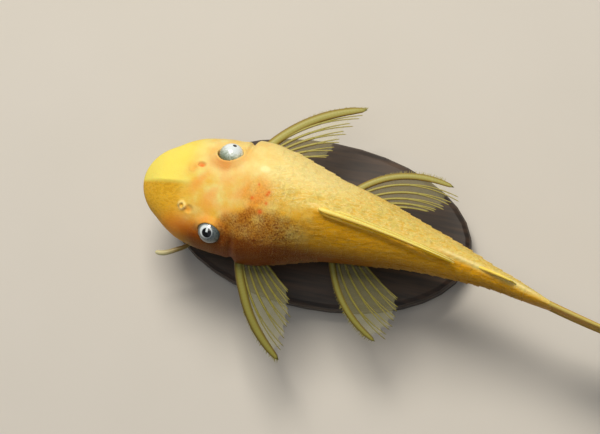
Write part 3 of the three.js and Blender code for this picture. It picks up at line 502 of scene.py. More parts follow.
def markings(station, plain, flank):
    """How much of each colour zone a place of the skin has, as two sets of four weights from 0 to 1."""
    y = plain[..., 1] / PERCENT
    left = smoothstep(-y, 0, 4)
    right = smoothstep(y, 1.5, 7)
    from_eye = from_eyes(plain)
    broken = grain(plain, 2.6, 5.0)

    # The snout is lemon; on the right side the lemon reaches further back, partly painted light
    lemon = 1 - smoothstep(station + np.abs(y) * 0.25 - 2.5 * right, 7, 18)

    # The granular zone behind the left eye lies on the left side only: its brown between the grains is partly
    # real colour, partly painted shade
    below = np.interp(station, *GRAINS_FROM) - y + 0.7 * broken
    ends = smoothstep(station, 20, 24) * (1 - smoothstep(station + broken, 36, 50))
    granular = smoothstep(below, -0.6, 2.2) * ends * (1 - 0.55 * hill(np.hypot(station - 31, y + 5.5), 1.8))
    rust = patch("rust", station, y)

    around_eye = 0.4 * hill(from_eye - 3.0, 1.3) * (1 - 0.6 * smoothstep(np.abs(y), 9, 12))
    forehead = patch("forehead", station, y) + 0.6 * patch("right_nostril", station, y)
    orange = patch("nape", station, y) * (0.85 + 0.9 * broken) + around_eye
    orange = orange + 0.5 * patch("under_right_eye", station, y) + patch("low_snout", station, y)
    orange = orange + forehead * np.clip(0.4 + 1.3 * broken, 0, 1)
    orange = orange + 0.45 * granular * (1 - smoothstep(station, 33, 41))

    # The cheeks are brown nearly only on the left: partly blood showing through, partly painted shade
    cheek = smoothstep(np.abs(y), 9.2, 12.6) * between(station, (10, 18), (26, 33))
    # Painted shade: the outer edge of the left flank, away from the light, is painted brown, less so towards
    # the tail
    outwards = -y / np.maximum(half_width(station), 1)
    deep = smoothstep(station, 26, 31) * smoothstep(outwards, 0.6, 1.0)
    deep = deep * (1 - 0.6 * smoothstep(station, 50, 80))
    brown = 0.4 * rust + cheek * (0.06 + 0.94 * left) + 0.55 * granular * (1 + 0.35 * broken) + 0.95 * deep

    # Painted highlight: a small bright spot on the right shoulder, behind the gill opening
    painted_highlight = 2 * hill(np.hypot((station - 31.2) * 0.7, y - 7.2), 0.6)
    # Painted light: the right side of the head and fore trunk is made paler
    painted_lit_side = 0.45 * right * between(station, (9, 18), (44, 62))
    # Painted highlight: a pale line just right of the tail's middle, and the pale right side of the rise to
    # the folded fin
    crest = 0.8 * hill(y - 0.7, 0.5) * smoothstep(flank, 30, 60) * smoothstep(station, 74, 80)
    crest = crest * (1 - 0.7 * smoothstep(station, 98, 106)) + fold_ramp(station, y)[1]
    brow = 0.35 * patch("brow", station, y) * (1 + broken)
    nostril_rim = 0.45 * hill(distance_to(plain, NOSTRIL_TUBES[1:]) - 0.75, 0.3)
    pale = painted_highlight + painted_lit_side + 0.8 * crest + brow + nostril_rim

    spots = np.max([hill(np.hypot(station - s, y - w), r) for s, w, r in BLOOD_SPOTS], axis=0)
    right_pit, left_pit = (
        np.linalg.norm((plain - spot) * shape, axis=-1) for (spot, _), shape in zip(NOSTRIL_SPOTS, PIT_SHAPE)
    )
    red = 0.85 * spots + 0.22 * rust + 0.9 * hill(right_pit, 0.7) + 0.3 * hill(left_pit, 0.7)

    # The right and top of the trunk: light gold with olive winding lines and pale glints; its lighter tone is
    # partly painted light
    olive = smoothstep(station, 29, 36) * smoothstep(y, -2.5, 1.5)
    # Amber paints shade: left of the folded fin, on the snout's side left of its ridge, and on the left lower
    # flank. The right lower flank takes a little amber too
    beside_fold = smoothstep(0.3 - y, 0, 1.2) * smoothstep(station, 40, 48)
    left_of_snout = smoothstep(-from_snout_ridge(station, y), 0, 1.2) * (1 - smoothstep(station, 9, 16))
    low_right = 0.2 * smoothstep(station, 24, 36) * (1 - smoothstep(flank, 10, 40))
    low_left = left * smoothstep(station, 24, 34) * (1 - smoothstep(flank, 20, 70))
    amber = np.max([beside_fold, 0.85 * left_of_snout, low_right, low_left], axis=0)
    # Brown speckles in the granular zone and over the nape off the right side: partly painted shade
    speckle = 0.85 * granular + 0.25 * between(station, (24, 30), (36, 46)) * (1 - right)
    first = np.clip(np.stack([lemon, orange, brown, pale], -1), 0, 1)
    second = np.clip(np.stack([red, olive, amber, speckle], -1), 0, 1)
    return first, second


def feed(tree, node, inputs):
    """Fills a node's sockets, in order or by name. A socket is linked as it is, and a node by its first output
    in use."""
    for socket, value in inputs.items() if isinstance(inputs, dict) else enumerate(inputs):
        if isinstance(value, bpy.types.Node):
            value = next(output for output in value.outputs if output.enabled)
        if isinstance(value, bpy.types.NodeSocket):
            tree.links.new(value, node.inputs[socket])
        else:
            node.inputs[socket].default_value = value


def add_node(tree, kind, inputs=(), **settings):
    """Adds a node with its settings and fills its sockets."""
    node = tree.nodes.new(kind)
    for key, value in settings.items():
        setattr(node, key, value)
    feed(tree, node, inputs)
    return node


def new_material(name, **sockets):
    """A material with one Principled shader and its constants set."""
    material = bpy.data.materials.new(name)
    material.use_nodes = True
    tree = material.node_tree
    shader = tree.nodes["Principled BSDF"]
    feed(tree, shader, {socket.replace("_", " "): value for socket, value in sockets.items()})
    return material, tree, shader


MIX_A, MIX_B = 6, 7  # the colours of a Mix node, after the sockets of its other kinds

# Scales of fine patterns, in repeats a metre
MOTTLE, CURLS, PORES, GRAINS = 380.0, 620.0, 1900.0, 2700.0  # the skin's forms of 2.6, 1.6, 0.5 and 0.4 mm
CREASES, BLOTCHES, PAPILLAE = 900.0, 300.0, 3500.0  # forms of 1.1, 3.3 and 0.3 mm
FIBRES = (60.0, 900.0, 900.0)  # wood fibres 17 mm long and 1.1 mm wide
BRUSHING = (6000.0, 6000.0, 200.0)  # lines 5 mm long and 0.17 mm wide
STREAK = (0.0026, 0.0005, 0.0005)  # metres, the length and width of a streak on the trunk
RAY_JOINT = 0.62  # mm from one joint of a ray to the next
EVEN_GLOW = (1.0, 0.95, 0.8)  # how far red, green and blue light go into thin bone and film


def skin_material(name, tip=False):
    """Living fish skin over bone plates: a soft satin sheen, light that goes a little way in, fine pores.

    The zones come from the mesh. Their fine breaks are noise: winding ridges 1.6 mm apart on the fore back,
    streaks 0.5 mm wide on the trunk and grains of 0.4 mm. The odontodes' own copy is paler and
    glossier, as enamel is.
    """
    colours = bpy.context.scene.pleco_colours
    material, tree, shader = new_material(
        name, Roughness=0.3 if tip else 0.46, IOR=1.4, Specular_IOR_Level=0.06, Subsurface_Weight=0.1,
        Subsurface_Scale=0.001, Subsurface_Radius=(1.0, 0.4, 0.08), Coat_Weight=0.03, Coat_Roughness=0.2,
    )
    where = add_node(tree, "ShaderNodeTexCoord").outputs["Object"]
    first = add_node(tree, "ShaderNodeAttribute", attribute_name="zones").outputs
    second = add_node(tree, "ShaderNodeAttribute", attribute_name="zones_more").outputs
    one = add_node(tree, "ShaderNodeSeparateColor", [first["Color"]])
    two = add_node(tree, "ShaderNodeSeparateColor", [second["Color"]])
    lemon, orange, brown, pale = *one.outputs[:3], first["Alpha"]
    red, olive, amber, speckle = *two.outputs[:3], second["Alpha"]

    mottle = add_node(tree, "ShaderNodeTexNoise", {"Vector": where, "Scale": MOTTLE, "Detail": 3.0})
    mottle = add_node(tree, "ShaderNodeMapRange", (mottle, 0.36, 0.64, 0.0, 1.0))
    fine = add_node(tree, "ShaderNodeTexNoise", {"Vector": where, "Scale": PORES, "Detail": 2.0})
    curls = add_node(
        tree, "ShaderNodeTexNoise", {"Vector": where, "Scale": CURLS, "Detail": 1.5, "Distortion": 0.5}
    )
    lengthwise = add_node(
        tree, "ShaderNodeMapping", {"Vector": where, "Rotation": (0, 0, 0.2), "Scale": STREAK},
        vector_type="TEXTURE",
    )
    streaks = add_node(
        tree, "ShaderNodeTexNoise", {"Vector": lengthwise, "Scale": 1.0, "Detail": 3.0, "Distortion": 0.6}
    )
    # Where a noise crosses its middle value runs a thin winding line: a groove, or a pale glint
    lines = []
    for pattern, reach in ((curls, (0.0, 0.13, 0.0, 1.0)), (streaks, (0.005, 0.03, 1.0, 0.0))):
        off_line = add_node(tree, "ShaderNodeMath", (pattern, 0.5), operation="SUBTRACT")
        off_line = add_node(tree, "ShaderNodeMath", [off_line], operation="ABSOLUTE")
        lines.append(add_node(tree, "ShaderNodeMapRange", (off_line, *reach)))
    ridges, glints = lines
    streaks = add_node(tree, "ShaderNodeMapRange", (streaks, 0.42, 0.58, 0.0, 1.0))
    patches = add_node(tree, "ShaderNodeMath", (mottle, 0.6, 0.4), operation="MULTIPLY_ADD")
    patches = add_node(tree, "ShaderNodeMath", (ridges, patches), operation="MULTIPLY")
    cells = add_node(tree, "ShaderNodeTexVoronoi", {"Vector": where, "Scale": GRAINS})
    gaps = add_node(tree, "ShaderNodeMapRange", (cells, 0.3, 0.8, 0.1, 1.0))
    grainy = add_node(tree, "ShaderNodeMath", (ridges, 0.5, 0.5), operation="MULTIPLY_ADD")
    grainy = add_node(tree, "ShaderNodeMath", (grainy, gaps), operation="MULTIPLY")

    last = add_node(
        tree, "ShaderNodeMix", {0: mottle, MIX_A: colours.gold, MIX_B: colours.light_gold}, data_type="RGBA"
    )
    for weight, target, strength, pattern in (
        (olive, colours.light_gold, 0.75, None),
        (olive, colours.gold, 0.6, streaks),
        (olive, colours.olive, 0.5, patches),
        (olive, colours.pale, 0.5, glints),
        (lemon, colours.lemon, 0.95, None),
        (amber, colours.amber, 0.95, None),
        (amber, colours.brown, 0.2, streaks),
        (amber, colours.light_gold, 0.3, glints),
        (pale, colours.pale, 0.85, None),
        (orange, colours.orange, 0.7, None),
        (brown, colours.brown, 0.9, None),
        (speckle, colours.brown, 0.9, grainy),
        (red, colours.red, 0.9, None),
    ):
        factor = add_node(tree, "ShaderNodeMath", (weight, strength), operation="MULTIPLY")
        if pattern is not None:
            factor = add_node(tree, "ShaderNodeMath", (factor, pattern), operation="MULTIPLY")
        last = add_node(tree, "ShaderNodeMix", {0: factor, MIX_A: last, MIX_B: target}, data_type="RGBA")
    if tip:
        last = add_node(tree, "ShaderNodeMix", {0: 0.14, MIX_A: last, MIX_B: colours.pale}, data_type="RGBA")

    grit = add_node(tree, "ShaderNodeMath", (cells, -0.6, 0.6), operation="MULTIPLY_ADD")
    height = add_node(tree, "ShaderNodeMath", (grit, fine), operation="ADD")
    relief = add_node(tree, "ShaderNodeBump", {"Strength": 0.5, "Distance": 0.00008, "Height": height})
    feed(tree, shader, {"Base Color": last, "Normal": relief})
    return material


def ray_material(name, face, edge_hex, glow=0.15):
    """Fin rays: jointed bone under clear skin, of one colour on its face and another on its edges.

    The edges of a spread fin are dark, and those of an upright one are painted pale, a painted highlight
    from above. The folded fin is as golden as the skin that it lies on; its pale copy on the lit right side
    is painted light, and its golden copy on the left is painted shade. glow is how far the light comes
    through from the far side.
    """
    material, tree, shader = new_material(
        name, Roughness=0.4, IOR=1.45, Specular_IOR_Level=0.15, Subsurface_Weight=glow,
        Subsurface_Scale=0.0006, Subsurface_Radius=EVEN_GLOW, Coat_Weight=0.05, Coat_Roughness=0.2,
    )
    along = add_node(tree, "ShaderNodeAttribute", attribute_name="along").outputs["Fac"]
    side = add_node(tree, "ShaderNodeAttribute", attribute_name="side").outputs["Fac"]
    turns = add_node(tree, "ShaderNodeMath", (along, 2 * math.pi / RAY_JOINT), operation="MULTIPLY")
    joints = add_node(tree, "ShaderNodeMath", [turns], operation="COSINE")
    edge = add_node(tree, "ShaderNodeMapRange", (side, 0.35, 0.9, 0.0, 0.85))
    thin = add_node(tree, "ShaderNodeMapRange", (joints, 0.8, 1.0, 0.0, 0.16))
    last, rim = face, linear(edge_hex)
    for factor in (edge, thin):
        last = add_node(tree, "ShaderNodeMix", {0: factor, MIX_A: last, MIX_B: rim}, data_type="RGBA")
    relief = add_node(
        tree, "ShaderNodeBump", {"Strength": 0.15, "Distance": 0.00005, "Height": joints}, invert=True
    )
    feed(tree, shader, {"Base Color": last, "Normal": relief})
    return material


def membrane_material(name, alpha, tint):
    """Skin between the rays, thin as film, with fine creases along them: clear, or golden near the tail."""
    material, tree, shader = new_material(
        name, Roughness=0.4, IOR=1.36, Specular_IOR_Level=0.08, Alpha=alpha,
        Subsurface_Weight=0.7 if alpha > 0.5 else 0.0, Subsurface_Scale=0.001, Subsurface_Radius=EVEN_GLOW,
    )
    where = add_node(tree, "ShaderNodeTexCoord").outputs["Object"]
    crease = add_node(tree, "ShaderNodeTexNoise", {"Vector": where, "Scale": CREASES, "Detail": 3.0})
    colour = add_node(tree, "ShaderNodeMix", {0: crease, MIX_A: tint[0], MIX_B: tint[1]}, data_type="RGBA")
    relief = add_node(tree, "ShaderNodeBump", {"Strength": 0.3, "Distance": 0.00005, "Height": crease})
    feed(tree, shader, {"Base Color": colour, "Normal": relief})
    return material


def piece_from(name, verts, faces, material, nodes=(), smooth=True):
    """A piece made of copies of a blank."""
    mesh = bpy.data.meshes.new(name)
    mesh.from_pydata(verts, [], faces)
    return piece_of(name, mesh, material, nodes, smooth)


def piece_of(name, mesh, material, nodes=(), smooth=True):
    """A finished piece that rides on the body and stands for some nodes."""
    mesh.materials.append(material)
    mesh.polygons.foreach_set("use_smooth", [smooth] * len(mesh.polygons))
    mesh.update()
    piece = bpy.data.objects.new(name, mesh)
    bpy.context.scene.collection.objects.link(piece)
    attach(piece, "root")
    if nodes:
        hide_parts(*nodes)
    return piece


ATTRIBUTE_FIELDS = {"FLOAT": "value", "FLOAT_VECTOR": "vector", "FLOAT_COLOR": "color"}


def set_attribute(mesh, name, kind, values):
    """Keeps a number, vector or colour for each vertex, for the materials to read."""
    attribute = mesh.attributes.new(name, kind, "POINT")
    attribute.data.foreach_set(ATTRIBUTE_FIELDS[kind], np.asarray(values, np.float32).ravel())


def mesh_from(bm, name):
    """A bmesh as a mesh, and the places of its vertices."""
    mesh = bpy.data.meshes.new(name)
    bm.to_mesh(mesh)
    places = np.empty(len(mesh.vertices) * 3, np.float32)
    mesh.vertices.foreach_get("co", places)
    return mesh, places.reshape(-1, 3).astype(float)


def flat_sheet(name, columns, rows, with_uvs=False):
    """A flat sheet as a bmesh and a mesh, and how far across and along it each vertex is, from 0 to 1."""
    bm = bmesh.new()
    if with_uvs:
        bm.loops.layers.uv.new("OFBake")
    bmesh.ops.create_grid(bm, x_segments=columns, y_segments=rows, size=0.5, calc_uvs=with_uvs)
    mesh, places = mesh_from(bm, name)
    return bm, mesh, places[:, 0] + 0.5, places[:, 1] + 0.5


def move_vertices(mesh, points):
    """Puts a mesh's vertices where the points are."""
    mesh.vertices.foreach_set("co", points.astype(np.float32).ravel())


def shape_sheet(bm, mesh, points):
    """Moves a sheet's vertices to their places, in the mesh and in the bmesh."""
    move_vertices(mesh, points)
    bm.clear()
    bm.from_mesh(mesh)


def finish_mesh(bm, mesh):
    """Turns the faces outwards and gives the bmesh back to its mesh."""
    bmesh.ops.recalc_face_normals(bm, faces=bm.faces)
    bm.to_mesh(mesh)
    bm.free()


def finish_blank(bm):
    """The vertices and faces of a blank that is copied many times."""
    verts = np.array([v.co for v in bm.verts])
    faces = [[v.index for v in f.verts] for f in bm.faces]
    bm.free()
    return verts, faces


class PLECO_OT_skin(bpy.types.Operator):
    """Wraps one sheet of skin round the head, trunk and tail, with its plates, orbits, nostrils and gills"""

    bl_idname = "pleco.skin"
    bl_label = "Skin"

    def execute(self, context):
        rings, angles = mesh_rings(), section_angles(COLUMNS)
        bm, mesh, across, along = flat_sheet("skin", COLUMNS, len(rings) - 1, with_uvs=True)
        ring = rings[np.rint(along * (len(rings) - 1)).astype(int)]
        angle = angles[np.rint(across * COLUMNS).astype(int)]
        points, station, plain = skin_sample(ring, angle)
        first, second = markings(station, plain, flank_angle(angle))
        set_attribute(mesh, "zones", "FLOAT_COLOR", first)
        set_attribute(mesh, "zones_more", "FLOAT_COLOR", second)
        shape_sheet(bm, mesh, points)
        bmesh.ops.remove_doubles(bm, verts=bm.verts, dist=2e-6)
        finish_mesh(bm, mesh)
        piece_of("skin", mesh, skin_material("fish_skin"), ("head", "trunk", "tail"))
        return {"FINISHED"}


def spike_blank():
    """One odontode: a three-sided spike with its root at the origin, pointing up."""
    bm = bmesh.new()
    bmesh.ops.create_cone(bm, cap_ends=True, segments=3, radius1=0.5, radius2=0, depth=1)
    bmesh.ops.translate(bm, verts=bm.verts, vec=(0, 0, 0.42))
    bmesh.ops.remove_doubles(bm, verts=bm.verts, dist=1e-5)
    bmesh.ops.triangulate(bm, faces=bm.faces)
    return finish_blank(bm)


def spikes_piece(name, roots, pointing, across, lengths, widths, material, uvs=None, zones=None):
    """Many odontodes as one mesh, each a copy of the blank turned along its own direction."""
    blank, faces = spike_blank()
    third = np.cross(pointing, across)
    verts = (
        roots[:, None]
        + blank[None, :, 0, None] * (across * widths[:, None])[:, None]
        + blank[None, :, 1, None] * (third * widths[:, None])[:, None]
        + blank[None, :, 2, None] * (pointing * lengths[:, None])[:, None]
    )
    count = len(roots)
    all_faces = (np.array(faces)[None] + (np.arange(count) * len(blank))[:, None, None]).reshape(-1, 3)
    piece = piece_from(name, verts.reshape(-1, 3), all_faces, material, smooth=False)
    if zones is not None:
        for title, values in zip(("zones", "zones_more"), zones):
            set_attribute(piece.data, title, "FLOAT_COLOR", np.repeat(values, len(blank), axis=0))
    if uvs is not None:
        layer = piece.data.uv_layers.new(name="OFBake")
        corner = np.empty(len(piece.data.loops), np.int32)
        piece.data.loops.foreach_get("vertex_index", corner)
        patch = uvs[corner // len(blank)] + 0.003 * blank[corner % len(blank), :2]
        layer.data.foreach_set("uv", patch.astype(np.float32).ravel())
    return piece


def scatter_rings(start, end, spacing, low_flank):
    """Ring and angle of places at an even spacing in mm over the upper skin, row by row."""
    draw = np.random.default_rng(SEED)
    rings, angles = [], []
    count = int((end - start) * PERCENT / spacing)
    fine = np.linspace(low_flank, 180 - low_flank, 400)
    for k in range(count):
        ring = start + (end - start) * (k + 0.5) / count
        section = body_point(np.full(fine.shape, ring), fine)
        length = np.concatenate([[0], np.cumsum(np.linalg.norm(np.diff(section, axis=0), axis=1))])
        places = np.arange((k % 2) * spacing / 2, length[-1], spacing)
        places = places + draw.uniform(-0.3, 0.3, places.shape) * spacing
        angles.append(np.interp(places, length, fine))
        rings.append(ring + draw.uniform(-0.3, 0.3, places.shape) * spacing / PERCENT)
    return np.concatenate(rings), np.concatenate(angles)


CLEAR_OF_EYE, CLEAR_OF_NOSTRIL = 2.9, 1.6  # mm of bare skin
EDGE_SIZE = 1.55  # how much longer the odontodes on a plate's rear edge are
ODONTODE_WIDTH = 0.13  # mm, and a little more on the head


class PLECO_OT_odontodes(bpy.types.Operator):
    """Sets the small hooked teeth on the plates, their rear edges, the nape and the cheeks"""

    bl_idname = "pleco.odontodes"
    bl_label = "Odontodes"

    def execute(self, context):
        sizes = context.scene.pleco_sizes
        draw = np.random.default_rng(SEED + 1)
        ring, angle = scatter_rings(15, 99, sizes.odontode_spacing / MM, -30)
        edge_ring, edge_angle = self.edge_rows()
        on_edge = np.concatenate([np.zeros(len(ring), bool), np.ones(len(edge_ring), bool)])
        ring, angle = np.concatenate([ring, edge_ring]), np.concatenate([angle, edge_angle])

        roots, station, plain = skin_sample(ring, angle)
        ahead = skin_sample(ring + 0.12, angle)[0] - roots
        round_it = skin_sample(ring, angle + 0.8)[0] - roots
        normal = unit(np.cross(ahead, round_it))
        flank = flank_angle(angle)
        smooth_back, _, _ = skin_sample(np.maximum(ring - 1.0, 0), angle)
        backwards = unit(roots - smooth_back)
        backwards = unit(backwards - normal * np.sum(backwards * normal, -1, keepdims=True))

        y = plain[:, 1] / PERCENT
        from_eye = from_eyes(plain)
        from_pit = np.minimum(distance_to(plain, NOSTRIL_SPOTS), distance_to(plain, NOSTRIL_TUBES))
        bare = (from_eye < CLEAR_OF_EYE) | (from_pit < CLEAR_OF_NOSTRIL)
        bare |= clear_of_fins(station, flank) < 0.5
        bare |= (np.abs(station - HEAD_END) < 0.8) & (np.abs(flank) < 50)
        face = 1 - smoothstep(station, 26, 33)
        chance = smoothstep(station + np.abs(y) * 0.5, 17, 27)
        keep = ~bare & (draw.uniform(size=len(ring)) < chance) & ((flank > -8) | (station > 34))
        keep &= ~((station > DORSAL_FROM - 1) & (station < DORSAL_END) & (90 - flank < 7))

        size = draw.uniform(0.75, 1.2, len(ring)) * (1 - 0.45 * face)
        size = np.where(on_edge, size * EDGE_SIZE, size) * (1 - 0.25 * smoothstep(station, 70, 100))
        size = size * (1 + (1 - smoothstep(flank, 8, 40)) * smoothstep(station, 34, 42))
        stand = np.where(on_edge, 0.55, 0.36 + 0.3 * face) + draw.uniform(-0.08, 0.08, len(ring))
        aside = np.cross(normal, backwards) * draw.uniform(-0.18, 0.18, (len(ring), 1))
        pointing = unit(backwards + normal * stand[:, None] + aside)
        across = unit(np.cross(pointing, normal))
        lengths = size * sizes.odontode_length
        widths = (ODONTODE_WIDTH + 0.05 * face) * MM * size**0.5
        column = np.interp(angle, section_angles(COLUMNS), np.linspace(0, 1, COLUMNS + 1))
        row = np.interp(ring, mesh_rings(), np.linspace(0, 1, len(mesh_rings())))
        uvs = np.stack([column, row], -1)
        zones = markings(station, plain, flank)
        material = skin_material("odontode_enamel", tip=True)
        spikes_piece(
            "odontodes", roots[keep], pointing[keep], across[keep], lengths[keep], widths[keep],
            material, uvs[keep], [z[keep] for z in zones],
        )
        return {"FINISHED"}

    def edge_rows(self):
        """Places along the rear edge of every plate."""
        rings, angles = [], []
        for i in range(1, PLATE_COUNT + 1):
            ring = PLATES_START + i * PLATE_PITCH - 0.06
            for upper, lower in zip(ROW_SEAMS[:-1], ROW_SEAMS[1:]):
                teeth = 9 - int(4 * i / PLATE_COUNT)
                for k in range(teeth):
                    flank = upper + (lower - upper) * (0.12 + 0.76 * k / (teeth - 1))
                    for angle in (flank, 180 - flank):
                        rings.append(ring)
                        angles.append(angle)
        return np.array(rings), np.array(angles)


def tube_blank(sides, steps):
    """A closed spindle: a grid rolled up, with its ends drawn to poles. A vertex's x and y are its place on a
    ring of radius 1, and z its share of the length."""
    bm = bmesh.new()
    bmesh.ops.create_grid(bm, x_segments=sides, y_segments=steps, size=0.5)
    for v in bm.verts:
        turn = 2 * math.pi * (v.co.x + 0.5)
        share = v.co.y + 0.5
        radius = 0 if share < 1e-4 or share > 1 - 1e-4 else 1
        v.co = (radius * math.cos(turn), radius * math.sin(turn), share)
    bmesh.ops.remove_doubles(bm, verts=bm.verts, dist=1e-4)
    bmesh.ops.recalc_face_normals(bm, faces=bm.faces)
    return finish_blank(bm)


class Tubes:
    """Collects many tubes into one mesh, each the blank laid along its own path."""

    def __init__(self, sides, steps):
        self.blank, self.faces = tube_blank(sides, steps)
        self.verts, self.all_faces, self.along, self.side = [], [], [], []

    def add(self, path, half_wide, half_thick, normal_at):
        """path and normal_at give points and normals in metres at shares of the length. Sizes are in mm."""
        share = self.blank[:, 2]
        centre = path(share)
        forward = unit(path(np.minimum(share + 0.01, 1)) - path(np.maximum(share - 0.01, 0)))
        normal = normal_at(share)
        across = unit(np.cross(normal, forward))
        up = np.cross(forward, across)
        wide = np.interp(share, *half_wide)[:, None] * MM
        thick = np.interp(share, *half_thick)[:, None] * MM
        points = centre + across * self.blank[:, :1] * wide + up * self.blank[:, 1:2] * thick
        first = sum(len(v) for v in self.verts)
        self.verts.append(points)
        self.all_faces.extend([[first + i for i in face] for face in self.faces])
        length = np.linalg.norm(path(np.ones(1)) - path(np.zeros(1))) / MM
        self.along.append(share * length)
        self.side.append(np.abs(self.blank[:, 0]))

    def piece(self, name, material, slot, nodes=()):
        """All the tubes as one piece, which knows how far along its tube in mm and to its side a vertex is."""
        piece = piece_from(name, np.concatenate(self.verts), self.all_faces, material, nodes)
        set_attribute(piece.data, "along", "FLOAT", np.concatenate(self.along))
        set_attribute(piece.data, "side", "FLOAT", np.concatenate(self.side))
        bm = bmesh.new()
        bm.from_mesh(piece.data)
        finish_mesh(bm, piece.data)
        return piece


def quadratic(a, b, c, t):
    """A point of the curve from a to c that is drawn towards b."""
    return a * (1 - t) ** 2 + b * (2 * t * (1 - t)) + c * t * t


def bowed(a, b, bow, lead):
    """Middle point of a bowed line: pushed square to the line, in the plane of the fin."""
    line = b - a
    length = np.linalg.norm(line, axis=-1, keepdims=True)
    aside = unit(lead - line * np.sum(lead * line, -1, keepdims=True) / length**2)
    return (a + b) / 2 + aside * 2 * bow * length


def fin_surface(fin, t, u):
    """A point of a fin's middle surface in metres: t from spine to last ray, and u from root to edge."""
    t, u = np.broadcast_arrays(np.asarray(t, float)[..., None], np.asarray(u, float)[..., None])
    base_front, base_rear = (np.array(p, float) * PERCENT for p in fin["base"])
    tip_front, tip_rear = (np.array(p, float) * PERCENT for p in fin["tips"])
    outwards = unit(tip_front + tip_rear - base_front - base_rear)
    edge_middle = bowed(tip_front, tip_rear, fin["edge_bulge"], outwards)
    base = base_front * (1 - t) + base_rear * t
    tip = quadratic(tip_front, edge_middle, tip_rear, t)
    bow = fin["spine_bow"] * (1 - t) + fin["last_bow"] * t
    middle = bowed(base, tip, bow, np.array(fin["lead"], float))
    return place(quadratic(base, middle, tip, u))


def fin_normal(fin, t, u):
    """The direction square to a fin's middle surface."""
    along = fin_surface(fin, t, u + 0.02) - fin_surface(fin, t, u - 0.02)
    across = fin_surface(fin, t + 0.02, u) - fin_surface(fin, t - 0.02, u)
    return unit(np.cross(along, across))


SPINE_ROOT = -0.06  # a spine or ray starts this share of its length inside the body
# Shares of a spine's length, and of its full width there
SPINE_WIDTHS = ((0, 0.1, 0.75, 0.9, 0.97, 1), (0.85, 1, 0.92, 0.75, 0.5, 0.2))


def spine_shift(fin, share):
    """How far a spine's middle lies inside the fin's leading line, in mm."""
    return (fin["spine"][0] - 0.55) * (1 - 0.75 * share)


RAY_THICKNESS, BRANCH_THICKNESS = (0.26, 0.2), (0.17, 0.07)  # mm, half of it at the root and at the tip
BRANCH_WIDTHS = (0.62, 0.32)  # shares of the ray's width
TAIL_RAY_SHARE = 0.8  # the tail fin's rays are this share of the others' width
ADIPOSE_RAY = 0.15  # mm, half the width of the adipose fin's small ray
FORK_SPREAD = 0.22  # share of the gap between two rays
HAIR_COUNT = 80
HAIR_WIDTH = 0.2  # mm, drawn thicker than life so that the row shows


